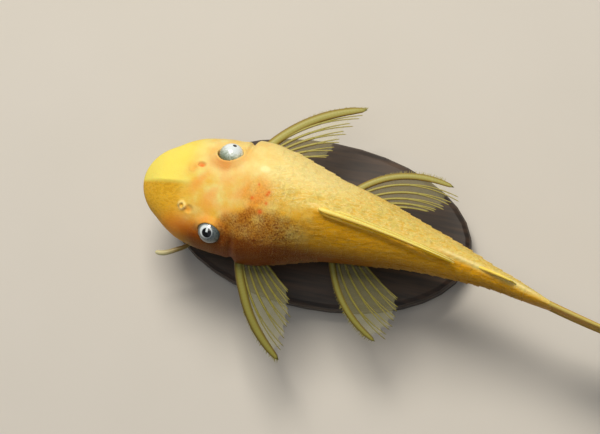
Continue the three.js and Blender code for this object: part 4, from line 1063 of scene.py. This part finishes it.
class PLECO_OT_fins(bpy.types.Operator):
    """Builds each spread fin: a stout spine, forked rays and the clear membrane between them"""

    bl_idname = "pleco.fins"
    bl_label = "Fins"

    def execute(self, context):
        self.sizes = context.scene.pleco_sizes
        self.draw = np.random.default_rng(SEED + 2)
        colours = context.scene.pleco_colours
        spread_bone = ray_material("fin_ray_bone", colours.ray, "#8a6a24")
        # Painted shade: the left paired fins, on the side away from the light, take a darker copy of the ray
        # bone
        shaded_bone = ray_material("shaded_fin_ray_bone", linear("#88843f"), "#5f4517")
        # The tail fin's rays are ochre on their faces, with their edges painted pale as a painted highlight
        # from above
        upright_bone = ray_material("upright_fin_ray_bone", linear("#b9831a"), "#c2b768", 0.5)
        # Painted light: the adipose fin's bone is made bright so that its own shade on the left doesn't show
        bright_bone = ray_material("bright_fin_ray_bone", linear("#ffca3c"), "#ffe070", 0.8)
        clear = membrane_material("fin_membrane", 0.1, (colours.membrane, linear("#c4bd7c")))
        golden = membrane_material("golden_fin_membrane", 0.95, (linear("#d9a01c"), linear("#a9770c")))
        # Painted light: the adipose fin's membrane is made bright for the same reason
        bright = membrane_material("bright_fin_membrane", 0.95, (linear("#ffcf4a"), linear("#f8bc28")))
        upright = {"caudal_fin": (upright_bone, golden), "adipose_fin": (bright_bone, bright)}
        for name, fin in FINS.items():
            spread = shaded_bone if name.endswith("left") else spread_bone
            self.bone, self.film = upright.get(name, (spread, clear))
            self.add_fin(name, fin)
        return {"FINISHED"}

    def add_fin(self, name, fin):
        """One fin: its spine, forked rays and membrane, and the hairs of a paired fin."""
        rays = fin["rays"]
        wide = self.sizes.ray_half_width / MM
        if name == "caudal_fin":
            wide *= TAIL_RAY_SHARE
        if name == "adipose_fin":
            wide = ADIPOSE_RAY
        longer = 0.05 if name.startswith("pelvic") else 0.0
        spread = FORK_SPREAD / rays
        branch = tuple(wide * share for share in BRANCH_WIDTHS)
        tubes = Tubes(8, 26)
        self.add_spine(tubes, fin, 0.0, 0.5 / rays)
        if name == "caudal_fin":
            self.add_spine(tubes, fin, 1.0, -0.5 / rays)
        for i in range(1, rays if name == "caudal_fin" else rays + 1):
            t = i / rays
            fork = 0.5 + 0.18 * self.draw.uniform()
            self.add_ray(tubes, fin, (t, t), (SPINE_ROOT, fork), (wide, wide * 0.9), RAY_THICKNESS)
            for side in (-1, 1):
                inner = 0.0 if t < 1 or side < 0 else -spread
                end = 1.0 + self.draw.uniform(-0.05, 0.02) + longer * math.sin(math.pi * min(2 * t, 1))
                start_t = t + side * 0.02 / rays * (inner == 0)
                end_t = t + side * spread + inner
                self.add_ray(tubes, fin, (start_t, end_t), (fork - 0.05, end), branch, BRANCH_THICKNESS)
        tubes.piece(name.replace("fin", "rays"), self.bone, "fin", (name,))
        self.add_membrane(name.replace("fin", "membrane"), fin)
        if name.startswith("pe"):  # the paired fins
            self.add_hairs(name.replace("fin", "hairs"), fin)

    def add_hairs(self, name, fin):
        """The spine's outer leading edge bristles with odontodes, each a copy of one small spike."""
        u = np.sort(self.draw.uniform(0.3, 0.99, HAIR_COUNT))
        t = np.zeros(HAIR_COUNT)
        foot = fin_surface(fin, t, u)
        inwards = unit(fin_surface(fin, t + 0.1, u) - foot)
        ahead = unit(fin_surface(fin, t, u + 0.01) - foot)
        up = fin_normal(fin, t, np.clip(u, 0, 0.97)) * self.draw.uniform(-0.5, 0.9, HAIR_COUNT)[:, None]
        lean = unit(0.5 * ahead - 1.2 * inwards + 0.6 * up)
        share = (u - SPINE_ROOT) / (1 - SPINE_ROOT)
        outer_edge = fin["spine"][0] * np.interp(share, *SPINE_WIDTHS) - spine_shift(fin, share)
        foot = foot - inwards * MM * (outer_edge - 0.12)[:, None]
        length = self.draw.uniform(0.4, 0.8, HAIR_COUNT) * smoothstep(u, 0.25, 0.6) + 0.2
        width = np.full(HAIR_COUNT, HAIR_WIDTH * MM)
        normal = unit(np.cross(ahead, inwards))
        uvs = np.stack([u, np.full(HAIR_COUNT, 0.5)], -1)
        spikes_piece(name, foot, lean, normal, length * MM, width, self.bone, uvs)

    def add_spine(self, tubes, fin, t, inward):
        """A stout spine along an edge of the fin. inward is the step in t that leads away from that edge."""
        half, thick = fin["spine"]

        def path(share):
            u = SPINE_ROOT + (1 - SPINE_ROOT) * share
            near = fin_surface(fin, np.full(u.shape, t), u)
            across = unit(fin_surface(fin, np.full(u.shape, t + inward), u) - near)
            return near + across * (MM * spine_shift(fin, share))[:, None]

        def normal_at(share):
            u = np.clip(SPINE_ROOT + (1 - SPINE_ROOT) * share, 0, 0.97)
            return fin_normal(fin, np.full(u.shape, t), u)

        widths = (SPINE_WIDTHS[0], tuple(half * w for w in SPINE_WIDTHS[1]))
        depths = ((0, 0.6, 0.94, 1), (thick, thick * 0.8, thick * 0.5, thick * 0.2))
        tubes.add(path, widths, depths, normal_at)

    def add_ray(self, tubes, fin, across, along, wide, thick):
        """A ray or a branch of one, from a first to a last place across and along the fin."""
        (t0, t1), (u0, u1) = across, along

        def at(share):
            return t0 + (t1 - t0) * share**0.9, u0 + (u1 - u0) * share

        def path(share):
            return fin_surface(fin, *at(share))

        def normal_at(share):
            t, u = at(share)
            return fin_normal(fin, t, np.clip(u, 0, 0.97))

        tubes.add(path, ((0, 1), wide), ((0, 1), thick), normal_at)

    def add_membrane(self, name, fin):
        """A thin wall along the fin's middle surface, sagging between the rays, with a ragged edge."""
        rays = fin["rays"]
        bm, mesh, t, share = flat_sheet(name, rays * max(8, int(64 / rays)), 28)
        between_rays = 0.5 - 0.5 * np.cos(2 * np.pi * t * rays)
        ragged = grain(np.stack([t * 40, 0 * t, 0 * t], -1), 1.0, len(name) * 1.7)
        edge = 0.965 - 0.05 * between_rays - 0.025 * np.abs(ragged)
        u = -0.03 + (edge + 0.03) * share
        sag = 0.06 * MM * between_rays * np.sin(np.pi * share) * (1 + 0.5 * ragged)
        points = fin_surface(fin, t, u) + fin_normal(fin, t, np.clip(u, 0, 0.97)) * sag[:, None]
        shape_sheet(bm, mesh, points)
        bmesh.ops.solidify(bm, geom=bm.faces[:], thickness=self.sizes.membrane_thickness)
        finish_mesh(bm, mesh)
        piece_of(name, mesh, self.film)


class PLECO_OT_dorsal(bpy.types.Operator):
    """Lays the folded dorsal fin along the back: its spine on top, and its rays bundled beside it"""

    bl_idname = "pleco.dorsal"
    bl_label = "Folded dorsal fin"

    # Shares of the length, and half the width or the thickness there in mm
    FOLD_WIDE = ((0, 0.05, 0.25, 0.6, 0.96, 1), (0.35, 0.95, 0.95, 0.72, 0.36, 0.08))
    FOLD_THICK = ((0, 0.05, 0.3, 0.6, 0.96, 1), (0.3, 0.7, 0.85, 0.8, 0.4, 0.1))
    SPINE_WIDE = ((0, 0.05, 0.3, 0.7, 1), (0.3, 0.6, 0.5, 0.32, 0.1))
    SPINE_THICK = ((0, 0.05, 0.3, 0.7, 1), (0.3, 0.5, 0.42, 0.32, 0.1))
    RAY_SIZE = ((0, 0.1, 0.7, 1), (0.2, 0.32, 0.26, 0.08))

    def execute(self, context):
        right, left = Tubes(12, 72), Tubes(12, 72)
        right.add(self.path(0, 1.0, -0.25, 0.4, 0.25), self.FOLD_WIDE, self.FOLD_THICK, self.upwards)
        right.add(self.path(0, 0.985, -0.1, 0.85, 0.0), self.SPINE_WIDE, self.SPINE_THICK, self.upwards)
        for k in range(1, 8):
            tubes, side = (right, 1) if k % 2 else (left, -1)
            ray = self.path(0.05 * k, 1.0 - 0.015 * (k % 3), side * (0.6 + 0.05 * k), 0.75 - 0.1 * k, 0.0)
            tubes.add(ray, self.RAY_SIZE, self.RAY_SIZE, self.upwards)
        # Lit and shaded copies: the fold's right side is painted pale as painted light, its left side golden
        # as painted shade
        pale = ray_material("folded_fin_bone", linear("#ffe685"), "#eeb01e", 0.9)
        golden = ray_material("shaded_folded_fin_bone", linear("#ffbe1a"), "#f0a010", 0.9)
        right.piece("dorsal_rays", pale, "fin", ("dorsal_fin",))
        left.piece("dorsal_rays_left", golden, "fin")
        return {"FINISHED"}

    def path(self, start, end, aside, level, sink):
        """A line along the folded fin, from a share of its length to another."""
        height = profile(((0, 0.35), (0.05, 0.95), (0.2, 1.4), (0.6, 1.5), (0.85, 1), (1, 0.3)))
        clearance = profile(((0, 0.3), (0.64, 0.3), (1, 1.6)))

        def line(share):
            t = start + (end - start) * share
            station = DORSAL_FROM + (DORSAL_TO - DORSAL_FROM) * t
            z = back_height(station) * PERCENT + clearance(t) + level * height(t) - sink
            ease = smoothstep(share, 0, 0.12) * (1 - 0.6 * t)
            y = -DORSAL_LEAN * PERCENT * t + aside * ease
            return place(np.stack([station * PERCENT, y, z], -1))

        return line

    def upwards(self, share):
        """The folded fin leans to the left, so that its broad side faces up and to the right."""
        return np.tile((0.0, 0.17, 0.985), (len(share), 1))


class PLECO_OT_eyes(bpy.types.Operator):
    """Turns both eyeballs, with a slight cornea, and gives them the pearly ring and the horseshoe pupil"""

    bl_idname = "pleco.eyes"
    bl_label = "Eyes"

    # Where each eye looks, the side that the flap hangs into its pupil from, the pupil's radius in radians,
    # the flap's half width as a share of it (under 0 where none is seen), and how dark the iris's rim is
    # painted towards its rear and left, away from the light: painted shade, which only the left eye has
    GAZES = (
        ("right", (0.166, 0.758, 0.632), (-0.845, -0.223, 0.488), 0.15, -1.0, 0.0),
        ("left", (-0.152, -0.37, 0.917), (0.0, 1.0, 0.35), 0.38, 0.14, 0.95),
    )

    def execute(self, context):
        material = eye_material()
        for (spot, normal), (name, gaze, flap, pupil, notch, rim_shade) in zip(EYE_SPOTS, self.GAZES):
            centre = place(spot - normal * EYE_SINK)
            gaze = unit(np.array(gaze))
            flap = unit(np.array(flap) - gaze * np.dot(flap, gaze))
            turn = np.stack([np.cross(flap, gaze), flap, gaze], -1)
            bm = bmesh.new()
            bmesh.ops.create_uvsphere(bm, u_segments=72, v_segments=48, radius=1)
            mesh, local = mesh_from(bm, f"eyeball_{name}")
            bm.free()
            local = unit(local)
            off_axis = np.degrees(np.arccos(np.clip(local[:, 2], -1, 1)))
            radius = (EYE_RADIUS - EYE_CLEARANCE + CORNEA_BULGE * hill(off_axis, 32)) * MM
            outwards = local @ turn.T
            move_vertices(mesh, centre + outwards * radius[:, None])
            set_attribute(mesh, "gaze", "FLOAT_VECTOR", local)
            # Painted shade: on the left eye the iris's rim darkens towards the rear and left, the side away
            # from the light
            to_rear = outwards @ unit(np.array((0.75, -0.6, 0)))
            dark = rim_shade * smoothstep(off_axis + 16 * to_rear, 25, 34)
            look = np.stack([np.full(dark.shape, pupil), np.full(dark.shape, notch), dark], -1)
            set_attribute(mesh, "look", "FLOAT_VECTOR", look)
            piece_of(f"eyeball_{name}", mesh, material, (f"eye_{name}",))
        return {"FINISHED"}


def eye_material():
    """A living eye under its cornea: wet gloss, a pearly blue ring, and a flap that hangs into the pupil."""
    material, tree, shader = new_material(
        "eye_cornea_and_iris", Roughness=0.25, IOR=1.38, Coat_Weight=0.8, Coat_Roughness=0.05
    )
    gaze = add_node(tree, "ShaderNodeAttribute", attribute_name="gaze").outputs["Vector"]
    look = add_node(tree, "ShaderNodeAttribute", attribute_name="look").outputs["Vector"]
    x, y, z = add_node(tree, "ShaderNodeSeparateXYZ", [gaze]).outputs
    pupil_radius, flap_width, darkness = add_node(tree, "ShaderNodeSeparateXYZ", [look]).outputs
    turn = add_node(tree, "ShaderNodeMath", [z], operation="ARCCOSINE")
    flecks = add_node(tree, "ShaderNodeTexNoise", {"Vector": gaze, "Scale": 7.0, "Detail": 4.0})
    wobble = add_node(tree, "ShaderNodeMath", (flecks, 0.3, -0.15), operation="MULTIPLY_ADD")
    share = add_node(tree, "ShaderNodeMath", (turn, 1 / math.pi, wobble), operation="MULTIPLY_ADD")
    rings = add_node(tree, "ShaderNodeValToRGB", [share])
    ramp = rings.color_ramp.elements
    ramp[0].position, ramp[0].color = 0.2, bpy.context.scene.pleco_colours.eye
    ramp[1].position, ramp[1].color = 0.52, linear("#4f5a44")
    for position, tone in ((0.27, "#c9d6cf"), (0.34, "#9aa89a"), (0.43, "#76836c")):
        ramp.new(position).color = linear(tone)
    # Painted shade: the look's third value paints the iris's rim dark slate, in patches
    patchy = add_node(tree, "ShaderNodeMapRange", (flecks, 0.35, 0.65, 1.0, 0.82))
    rim_shade = add_node(tree, "ShaderNodeMath", (darkness, patchy), operation="MULTIPLY")
    iris = add_node(
        tree, "ShaderNodeMix", {0: rim_shade, MIX_A: rings, MIX_B: linear("#1c3034")}, data_type="RGBA"
    )

    # From here on lengths are shares of the pupil's radius
    across = add_node(tree, "ShaderNodeMath", [x], operation="ABSOLUTE")
    off_axis, aside, level = (
        add_node(tree, "ShaderNodeMath", (length, pupil_radius), operation="DIVIDE")
        for length in (turn, across, y)
    )
    disc = add_node(tree, "ShaderNodeMapRange", (off_axis, 0.95, 1.08, 1.0, 0.0))
    beside = add_node(tree, "ShaderNodeMath", (aside, flap_width), operation="SUBTRACT")
    beside = add_node(tree, "ShaderNodeMapRange", (beside, 0.0, 0.12, 0.0, 1.0))
    below = add_node(tree, "ShaderNodeMapRange", (level, 0.1, 0.25, 1.0, 0.0))
    open_part = add_node(tree, "ShaderNodeMath", (beside, below), operation="MAXIMUM")
    pupil = add_node(tree, "ShaderNodeMath", (disc, open_part), operation="MULTIPLY")
    black = linear("#07080a")
    colour = add_node(tree, "ShaderNodeMix", {0: pupil, MIX_A: iris, MIX_B: black}, data_type="RGBA")
    feed(tree, shader, {"Base Color": colour})
    return material


def lip_material():
    """Soft lip skin, matt and a little translucent, covered in small papillae that catch the light."""
    material, tree, shader = new_material(
        "lip_skin", Roughness=0.5, IOR=1.4, Subsurface_Weight=0.3, Subsurface_Scale=0.001,
        Subsurface_Radius=(1.0, 0.5, 0.3),
    )
    where = add_node(tree, "ShaderNodeTexCoord").outputs["Object"]
    blotch = add_node(tree, "ShaderNodeTexNoise", {"Vector": where, "Scale": BLOTCHES, "Detail": 3.0})
    pale, dark = linear("#f0d3a2"), linear("#e0b27c")
    colour = add_node(tree, "ShaderNodeMix", {0: blotch, MIX_A: pale, MIX_B: dark}, data_type="RGBA")
    cells = add_node(tree, "ShaderNodeTexVoronoi", {"Vector": where, "Scale": PAPILLAE})
    relief = add_node(
        tree, "ShaderNodeBump", {"Strength": 0.5, "Distance": 0.0001, "Height": cells}, invert=True
    )
    feed(tree, shader, {"Base Color": colour, "Normal": relief})
    return material


def barbel_material():
    """Barbel skin: thin and translucent, olive brown at the root, partly painted shade under the head, and
    milky at the tip.
    """
    material, tree, shader = new_material(
        "barbel_skin", Roughness=0.35, IOR=1.38, Subsurface_Weight=0.3, Subsurface_Scale=0.0008,
        Subsurface_Radius=(1.0, 0.6, 0.3),
    )
    along = add_node(tree, "ShaderNodeAttribute", attribute_name="along").outputs["Fac"]
    tip = add_node(tree, "ShaderNodeMapRange", (along, 5.0, 8.5, 0.0, 1.0))
    colour = add_node(
        tree, "ShaderNodeMix", {0: tip, MIX_A: linear("#7d6a34"), MIX_B: linear("#c9c59a")}, data_type="RGBA"
    )
    feed(tree, shader, {"Base Color": colour})
    return material


def tooth_material():
    """Comb teeth: hard glassy enamel the colour of amber, each too fine for a pattern on it to show."""
    return new_material("tooth_enamel", Roughness=0.25, Base_Color=linear("#b5651d"), IOR=1.6)[0]


def wood_material():
    """Wenge under satin lacquer: nearly black, with straight paler fibres and a soft gleam."""
    material, tree, shader = new_material("satin_wenge", Roughness=0.55, Coat_Weight=0.08, Coat_Roughness=0.35)
    where = add_node(tree, "ShaderNodeTexCoord").outputs["Object"]
    stretch = add_node(tree, "ShaderNodeMapping", {"Vector": where, "Scale": FIBRES})
    fibres = add_node(tree, "ShaderNodeTexNoise", {"Vector": stretch, "Scale": 1.0, "Detail": 6.0})
    colour = add_node(tree, "ShaderNodeValToRGB", [fibres])
    for stop, position, tone in zip(colour.color_ramp.elements, (0.35, 0.7), ("#1d130c", "#4a3524")):
        stop.position, stop.color = position, linear(tone)
    relief = add_node(tree, "ShaderNodeBump", {"Strength": 0.25, "Distance": 0.0001, "Height": fibres})
    feed(tree, shader, {"Base Color": colour, "Normal": relief})
    return material


def steel_material():
    """Brushed steel: fine lines along the rod that blur what it mirrors."""
    material, tree, shader = new_material(
        "brushed_steel", Metallic=1.0, Roughness=0.32, Base_Color=linear("#b9bcbf")
    )
    where = add_node(tree, "ShaderNodeTexCoord").outputs["Object"]
    stretch = add_node(tree, "ShaderNodeMapping", {"Vector": where, "Scale": BRUSHING})
    brushed = add_node(tree, "ShaderNodeTexNoise", {"Vector": stretch, "Scale": 1.0, "Detail": 2.0})
    gloss = add_node(tree, "ShaderNodeMapRange", (brushed, 0.3, 0.7, 0.25, 0.42))
    feed(tree, shader, {"Roughness": gloss})
    return material


def paper_material():
    """Matt paper: no gloss, and a faint cloudy tone."""
    material, tree, shader = new_material("matt_paper", Roughness=0.9)
    where = add_node(tree, "ShaderNodeTexCoord").outputs["Object"]
    cloud = add_node(tree, "ShaderNodeTexNoise", {"Vector": where, "Scale": 40.0, "Detail": 2.0})
    pale = bpy.context.scene.pleco_colours.floor
    tone = add_node(tree, "ShaderNodeMix", {0: cloud, MIX_A: pale, MIX_B: linear("#cfccc5")}, data_type="RGBA")
    feed(tree, shader, {"Base Color": tone})
    return material


BARBELS = {
    "left": ((13.5, -9.25, -0.9), (15, -11.2, -1), (14.6, -13.6, -0.4), (12.2, -15.6, 0), (9.8, -17.1, 0),
             (7.7, -17.5, 0)),
    "right": ((13.5, 9.25, -0.9), (14.4, 10.9, -1.1), (12.8, 12.2, -1.2), (10, 11.4, -1.2), (7.6, 10.2, -1.1)),
}
BARBEL_WIDTHS = ((0, 0.4, 0.85, 0.95, 0.985, 1), (0.55, 0.5, 0.56, 0.5, 0.32, 0.1))
DISC_LENGTH, DISC_WIDTH = 7, 9  # half the length and the width of the mouth's disc
DISC_REACH = 1.15
DISC_DEPTHS = (  # shares of the way to the rim, and how far below the body's base plane each is in mm
    (0, 0.3, 0.55, 0.75, 0.93, 1.0, 1.04, DISC_REACH), (-1.0, -1.0, -1.15, -1.5, -1.7, -1.2, -0.7, 0.5),
)
PAPILLA_COUNT = 900
TEETH_IN_ROW = 44


def through(points):
    """A smooth path through some points, evenly paced, as a function of the share of its length."""
    p = np.array(points, float)
    p = np.vstack([2 * p[0] - p[1], p, 2 * p[-1] - p[-2]])
    dense = []
    for i in range(1, len(p) - 2):
        t = np.linspace(0, 1, 24, endpoint=False)[:, None]
        a, b, c, d = p[i - 1], p[i], p[i + 1], p[i + 2]
        square, cube = 2 * a - 5 * b + 4 * c - d, 3 * b - a - 3 * c + d
        dense.append(0.5 * (2 * b + (c - a) * t + square * t**2 + cube * t**3))
    dense = np.vstack([*dense, p[-2]])
    length = np.concatenate([[0], np.cumsum(np.linalg.norm(np.diff(dense, axis=0), axis=1))])

    def at(share):
        share = np.asarray(share) * length[-1]
        return np.stack([np.interp(share, length, dense[:, k]) for k in range(3)], -1)

    return at


class PLECO_OT_mouth(bpy.types.Operator):
    """Builds the sucker mouth with its papillae and comb teeth, and the barbel at each corner"""

    bl_idname = "pleco.mouth"
    bl_label = "Sucker mouth and barbels"

    def execute(self, context):
        lip = lip_material()
        self.add_disc(lip)
        self.add_papillae(lip)
        self.add_teeth()
        skin = barbel_material()
        for name, route in BARBELS.items():
            tubes = Tubes(14, 60)
            line = through(np.array(route) * PERCENT)
            tubes.add(lambda share: place(line(share)), BARBEL_WIDTHS, BARBEL_WIDTHS, self.upwards)
            tubes.piece(f"whisker_{name}", skin, "lip", (f"barbel_{name}",))
        return {"FINISHED"}

    def upwards(self, share):
        """Straight up, once for each item."""
        return np.tile((0.0, 0.0, 1.0), (len(share), 1))

    def disc_point(self, r, turn):
        """The disc's lower face: r from 0 at its middle to 1 at its rim, and over the rim to DISC_REACH."""
        along = DISC_LENGTH * PERCENT * np.minimum(r, 1.04) * np.cos(turn)
        y = DISC_WIDTH * PERCENT * np.minimum(r, 1.04) * np.sin(turn)
        slot = np.exp(-(along**4) - (y / 3.0) ** 4)
        frill = 0.1 * np.cos(turn * 26) * smoothstep(r, 0.8, 1.0) * (r < 1.1)
        depth = np.interp(r, *DISC_DEPTHS) + 1.3 * slot + frill
        return np.stack([MOUTH_AT * PERCENT + along, y, depth], -1)

    def add_disc(self, lip):
        """The disc: a sheet wound round the mouth, drawn together at its middle and closed on top."""
        bm, mesh, across, along = flat_sheet("sucker_disc", 144, 56)
        shape_sheet(bm, mesh, place(self.disc_point(along * DISC_REACH, across * 2 * np.pi)))
        bmesh.ops.remove_doubles(bm, verts=bm.verts, dist=1e-6)
        rim = [e for e in bm.edges if e.is_boundary]
        bmesh.ops.holes_fill(bm, edges=rim, sides=0)
        finish_mesh(bm, mesh)
        piece_of("sucker_disc", mesh, lip, ("sucker_mouth",))

    def add_papillae(self, lip):
        """Blunt papillae all over the disc, and none in the slot of the mouth."""
        draw = np.random.default_rng(SEED + 3)
        r = np.sqrt(draw.uniform(0.2, 0.9, PAPILLA_COUNT))
        turn = draw.uniform(0, 2 * np.pi, PAPILLA_COUNT)
        spots = self.disc_point(r, turn)
        in_slot = (np.abs(spots[:, 0] - MOUTH_AT * PERCENT) < 1.4) & (np.abs(spots[:, 1]) < 3.4)
        spots = spots[~in_slot]
        down = -self.upwards(spots)
        across = np.tile((1.0, 0.0, 0.0), (len(spots), 1))
        size = draw.uniform(0.16, 0.26, len(spots)) * MM
        spikes_piece("lip_papillae", place(spots), down, across, size, size * 1.3, lip)

    def add_teeth(self):
        """Two rows of comb teeth across the slot, leaning together."""
        y = np.linspace(-2.6, 2.6, TEETH_IN_ROW)
        roots, pointing = [], []
        for side in (-1, 1):
            x = MOUTH_AT * PERCENT + side * (0.75 - 0.08 * np.abs(y))
            roots.append(np.stack([x, y, np.full(y.shape, -0.55)], -1))
            pointing.append(np.tile(unit(np.array((-0.5 * side, 0.0, -1.0))), (TEETH_IN_ROW, 1)))
        roots, pointing = np.concatenate(roots), np.concatenate(pointing)
        across = np.tile((0.0, 1.0, 0.0), (len(roots), 1))
        length, width = np.full(len(roots), 0.7 * MM), np.full(len(roots), 0.1 * MM)
        spikes_piece("comb_teeth", place(roots), pointing, across, length, width, tooth_material())


class PLECO_OT_stand(bpy.types.Operator):
    """Gives the stand's base its dark wood and the rods their brushed steel"""

    bl_idname = "pleco.stand"
    bl_label = "Stand"

    def execute(self, context):
        wood, steel = wood_material(), steel_material()
        for node, material in (("stand_base", wood), ("stand_rod_front", steel), ("stand_rod_rear", steel)):
            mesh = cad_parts[node].data
            mesh.materials.clear()
            mesh.materials.append(material)
        return {"FINISHED"}


LIGHTS = (  # name, place and size in metres, watts and colour
    ("key", (-0.15, 0.36, 0.63), 0.3, 5.1, "#fff6e8"),
    ("top", (-0.05, 0.0, 0.8), 0.35, 0.9, "#fff8ee"),
    ("fill", (0.1, -0.5, 0.5), 0.5, 0.2, "#e8f0ff"),
)
LIGHTS_AIM = (0.01, 0, 0.02)
SKY_COLOUR, SKY_STRENGTH = "#dfe3e8", 0.14
CAMERA_AT = (0.05732, -0.06969, 0.57057)
CAMERA_BACKWARDS = (0.1078, -0.1230, 0.9865)
CAMERA_UP = (-0.1878, 0.9719, 0.1417)
CAMERA_LENS, CAMERA_SENSOR = 160, 36  # mm


class PLECO_OT_stage(bpy.types.Operator):
    """Sets the pale floor, the soft studio lights and the camera of the photograph"""

    bl_idname = "pleco.stage"
    bl_label = "Stage"

    def execute(self, context):
        scene = context.scene
        bm = bmesh.new()
        bmesh.ops.create_grid(bm, x_segments=1, y_segments=1, size=4)
        mesh, _ = mesh_from(bm, "floor")
        bm.free()
        mesh.materials.append(paper_material())
        floor = bpy.data.objects.new("floor", mesh)
        scene.collection.objects.link(floor)

        world = bpy.data.worlds.new("studio")
        world.use_nodes = True
        feed(world.node_tree, world.node_tree.nodes["Background"], (linear(SKY_COLOUR), SKY_STRENGTH))
        scene.world = world
        scene.view_settings.view_transform = "Standard"
        for light in LIGHTS:
            self.add_light(*light)

        camera = bpy.data.cameras.new("camera")
        camera.lens, camera.sensor_width, camera.clip_end = CAMERA_LENS, CAMERA_SENSOR, 20
        eye = bpy.data.objects.new("camera", camera)
        backwards = Vector(CAMERA_BACKWARDS).normalized()
        up = Vector(CAMERA_UP)
        up = (up - backwards * up.dot(backwards)).normalized()
        turn = Matrix((up.cross(backwards), up, backwards)).transposed().to_4x4()
        eye.matrix_world = Matrix.Translation(CAMERA_AT) @ turn
        scene.collection.objects.link(eye)
        scene.camera = eye
        return {"FINISHED"}

    def add_light(self, name, at, size, power, hex_colour):
        """A soft lamp aimed at the fish."""
        light = bpy.data.lights.new(name, "AREA")
        light.size, light.energy, light.color = size, power, linear(hex_colour)[:3]
        lamp = bpy.data.objects.new(name, light)
        lamp.location = at
        lamp.rotation_euler = (Vector(LIGHTS_AIM) - Vector(at)).to_track_quat("-Z", "Y").to_euler()
        bpy.context.scene.collection.objects.link(lamp)


class PLECO_PT_panel(bpy.types.Panel):
    """Shows the model's sizes and colours, and a button for each step that builds it"""

    bl_idname = "PLECO_PT_panel"
    bl_label = "Golden pleco"
    bl_space_type = "VIEW_3D"
    bl_region_type = "UI"
    bl_category = "Pleco"

    def draw(self, context):
        layout = self.layout
        for group in (context.scene.pleco_sizes, context.scene.pleco_colours):
            for name in group.bl_rna.properties.keys():
                if name not in ("rna_type", "name"):
                    layout.prop(group, name)
        for operator in STEPS:
            layout.operator(operator.bl_idname)


STEPS = (
    PLECO_OT_skin, PLECO_OT_eyes, PLECO_OT_odontodes, PLECO_OT_mouth, PLECO_OT_fins, PLECO_OT_dorsal,
    PLECO_OT_stand, PLECO_OT_stage,
)
CLASSES = (PlecoSizes, PlecoColours, *STEPS, PLECO_PT_panel)


def register():
    for each in CLASSES:
        bpy.utils.register_class(each)
    bpy.types.Scene.pleco_sizes = bpy.props.PointerProperty(type=PlecoSizes)
    bpy.types.Scene.pleco_colours = bpy.props.PointerProperty(type=PlecoColours)


def unregister():
    del bpy.types.Scene.pleco_colours
    del bpy.types.Scene.pleco_sizes
    for each in reversed(CLASSES):
        bpy.utils.unregister_class(each)


def main():
    register()
    bpy.ops.pleco.skin()
    bpy.ops.pleco.eyes()
    bpy.ops.pleco.odontodes()
    bpy.ops.pleco.mouth()
    bpy.ops.pleco.fins()
    bpy.ops.pleco.dorsal()
    bpy.ops.pleco.stand()
    bpy.ops.pleco.stage()


if __name__ == "__main__":
    main()
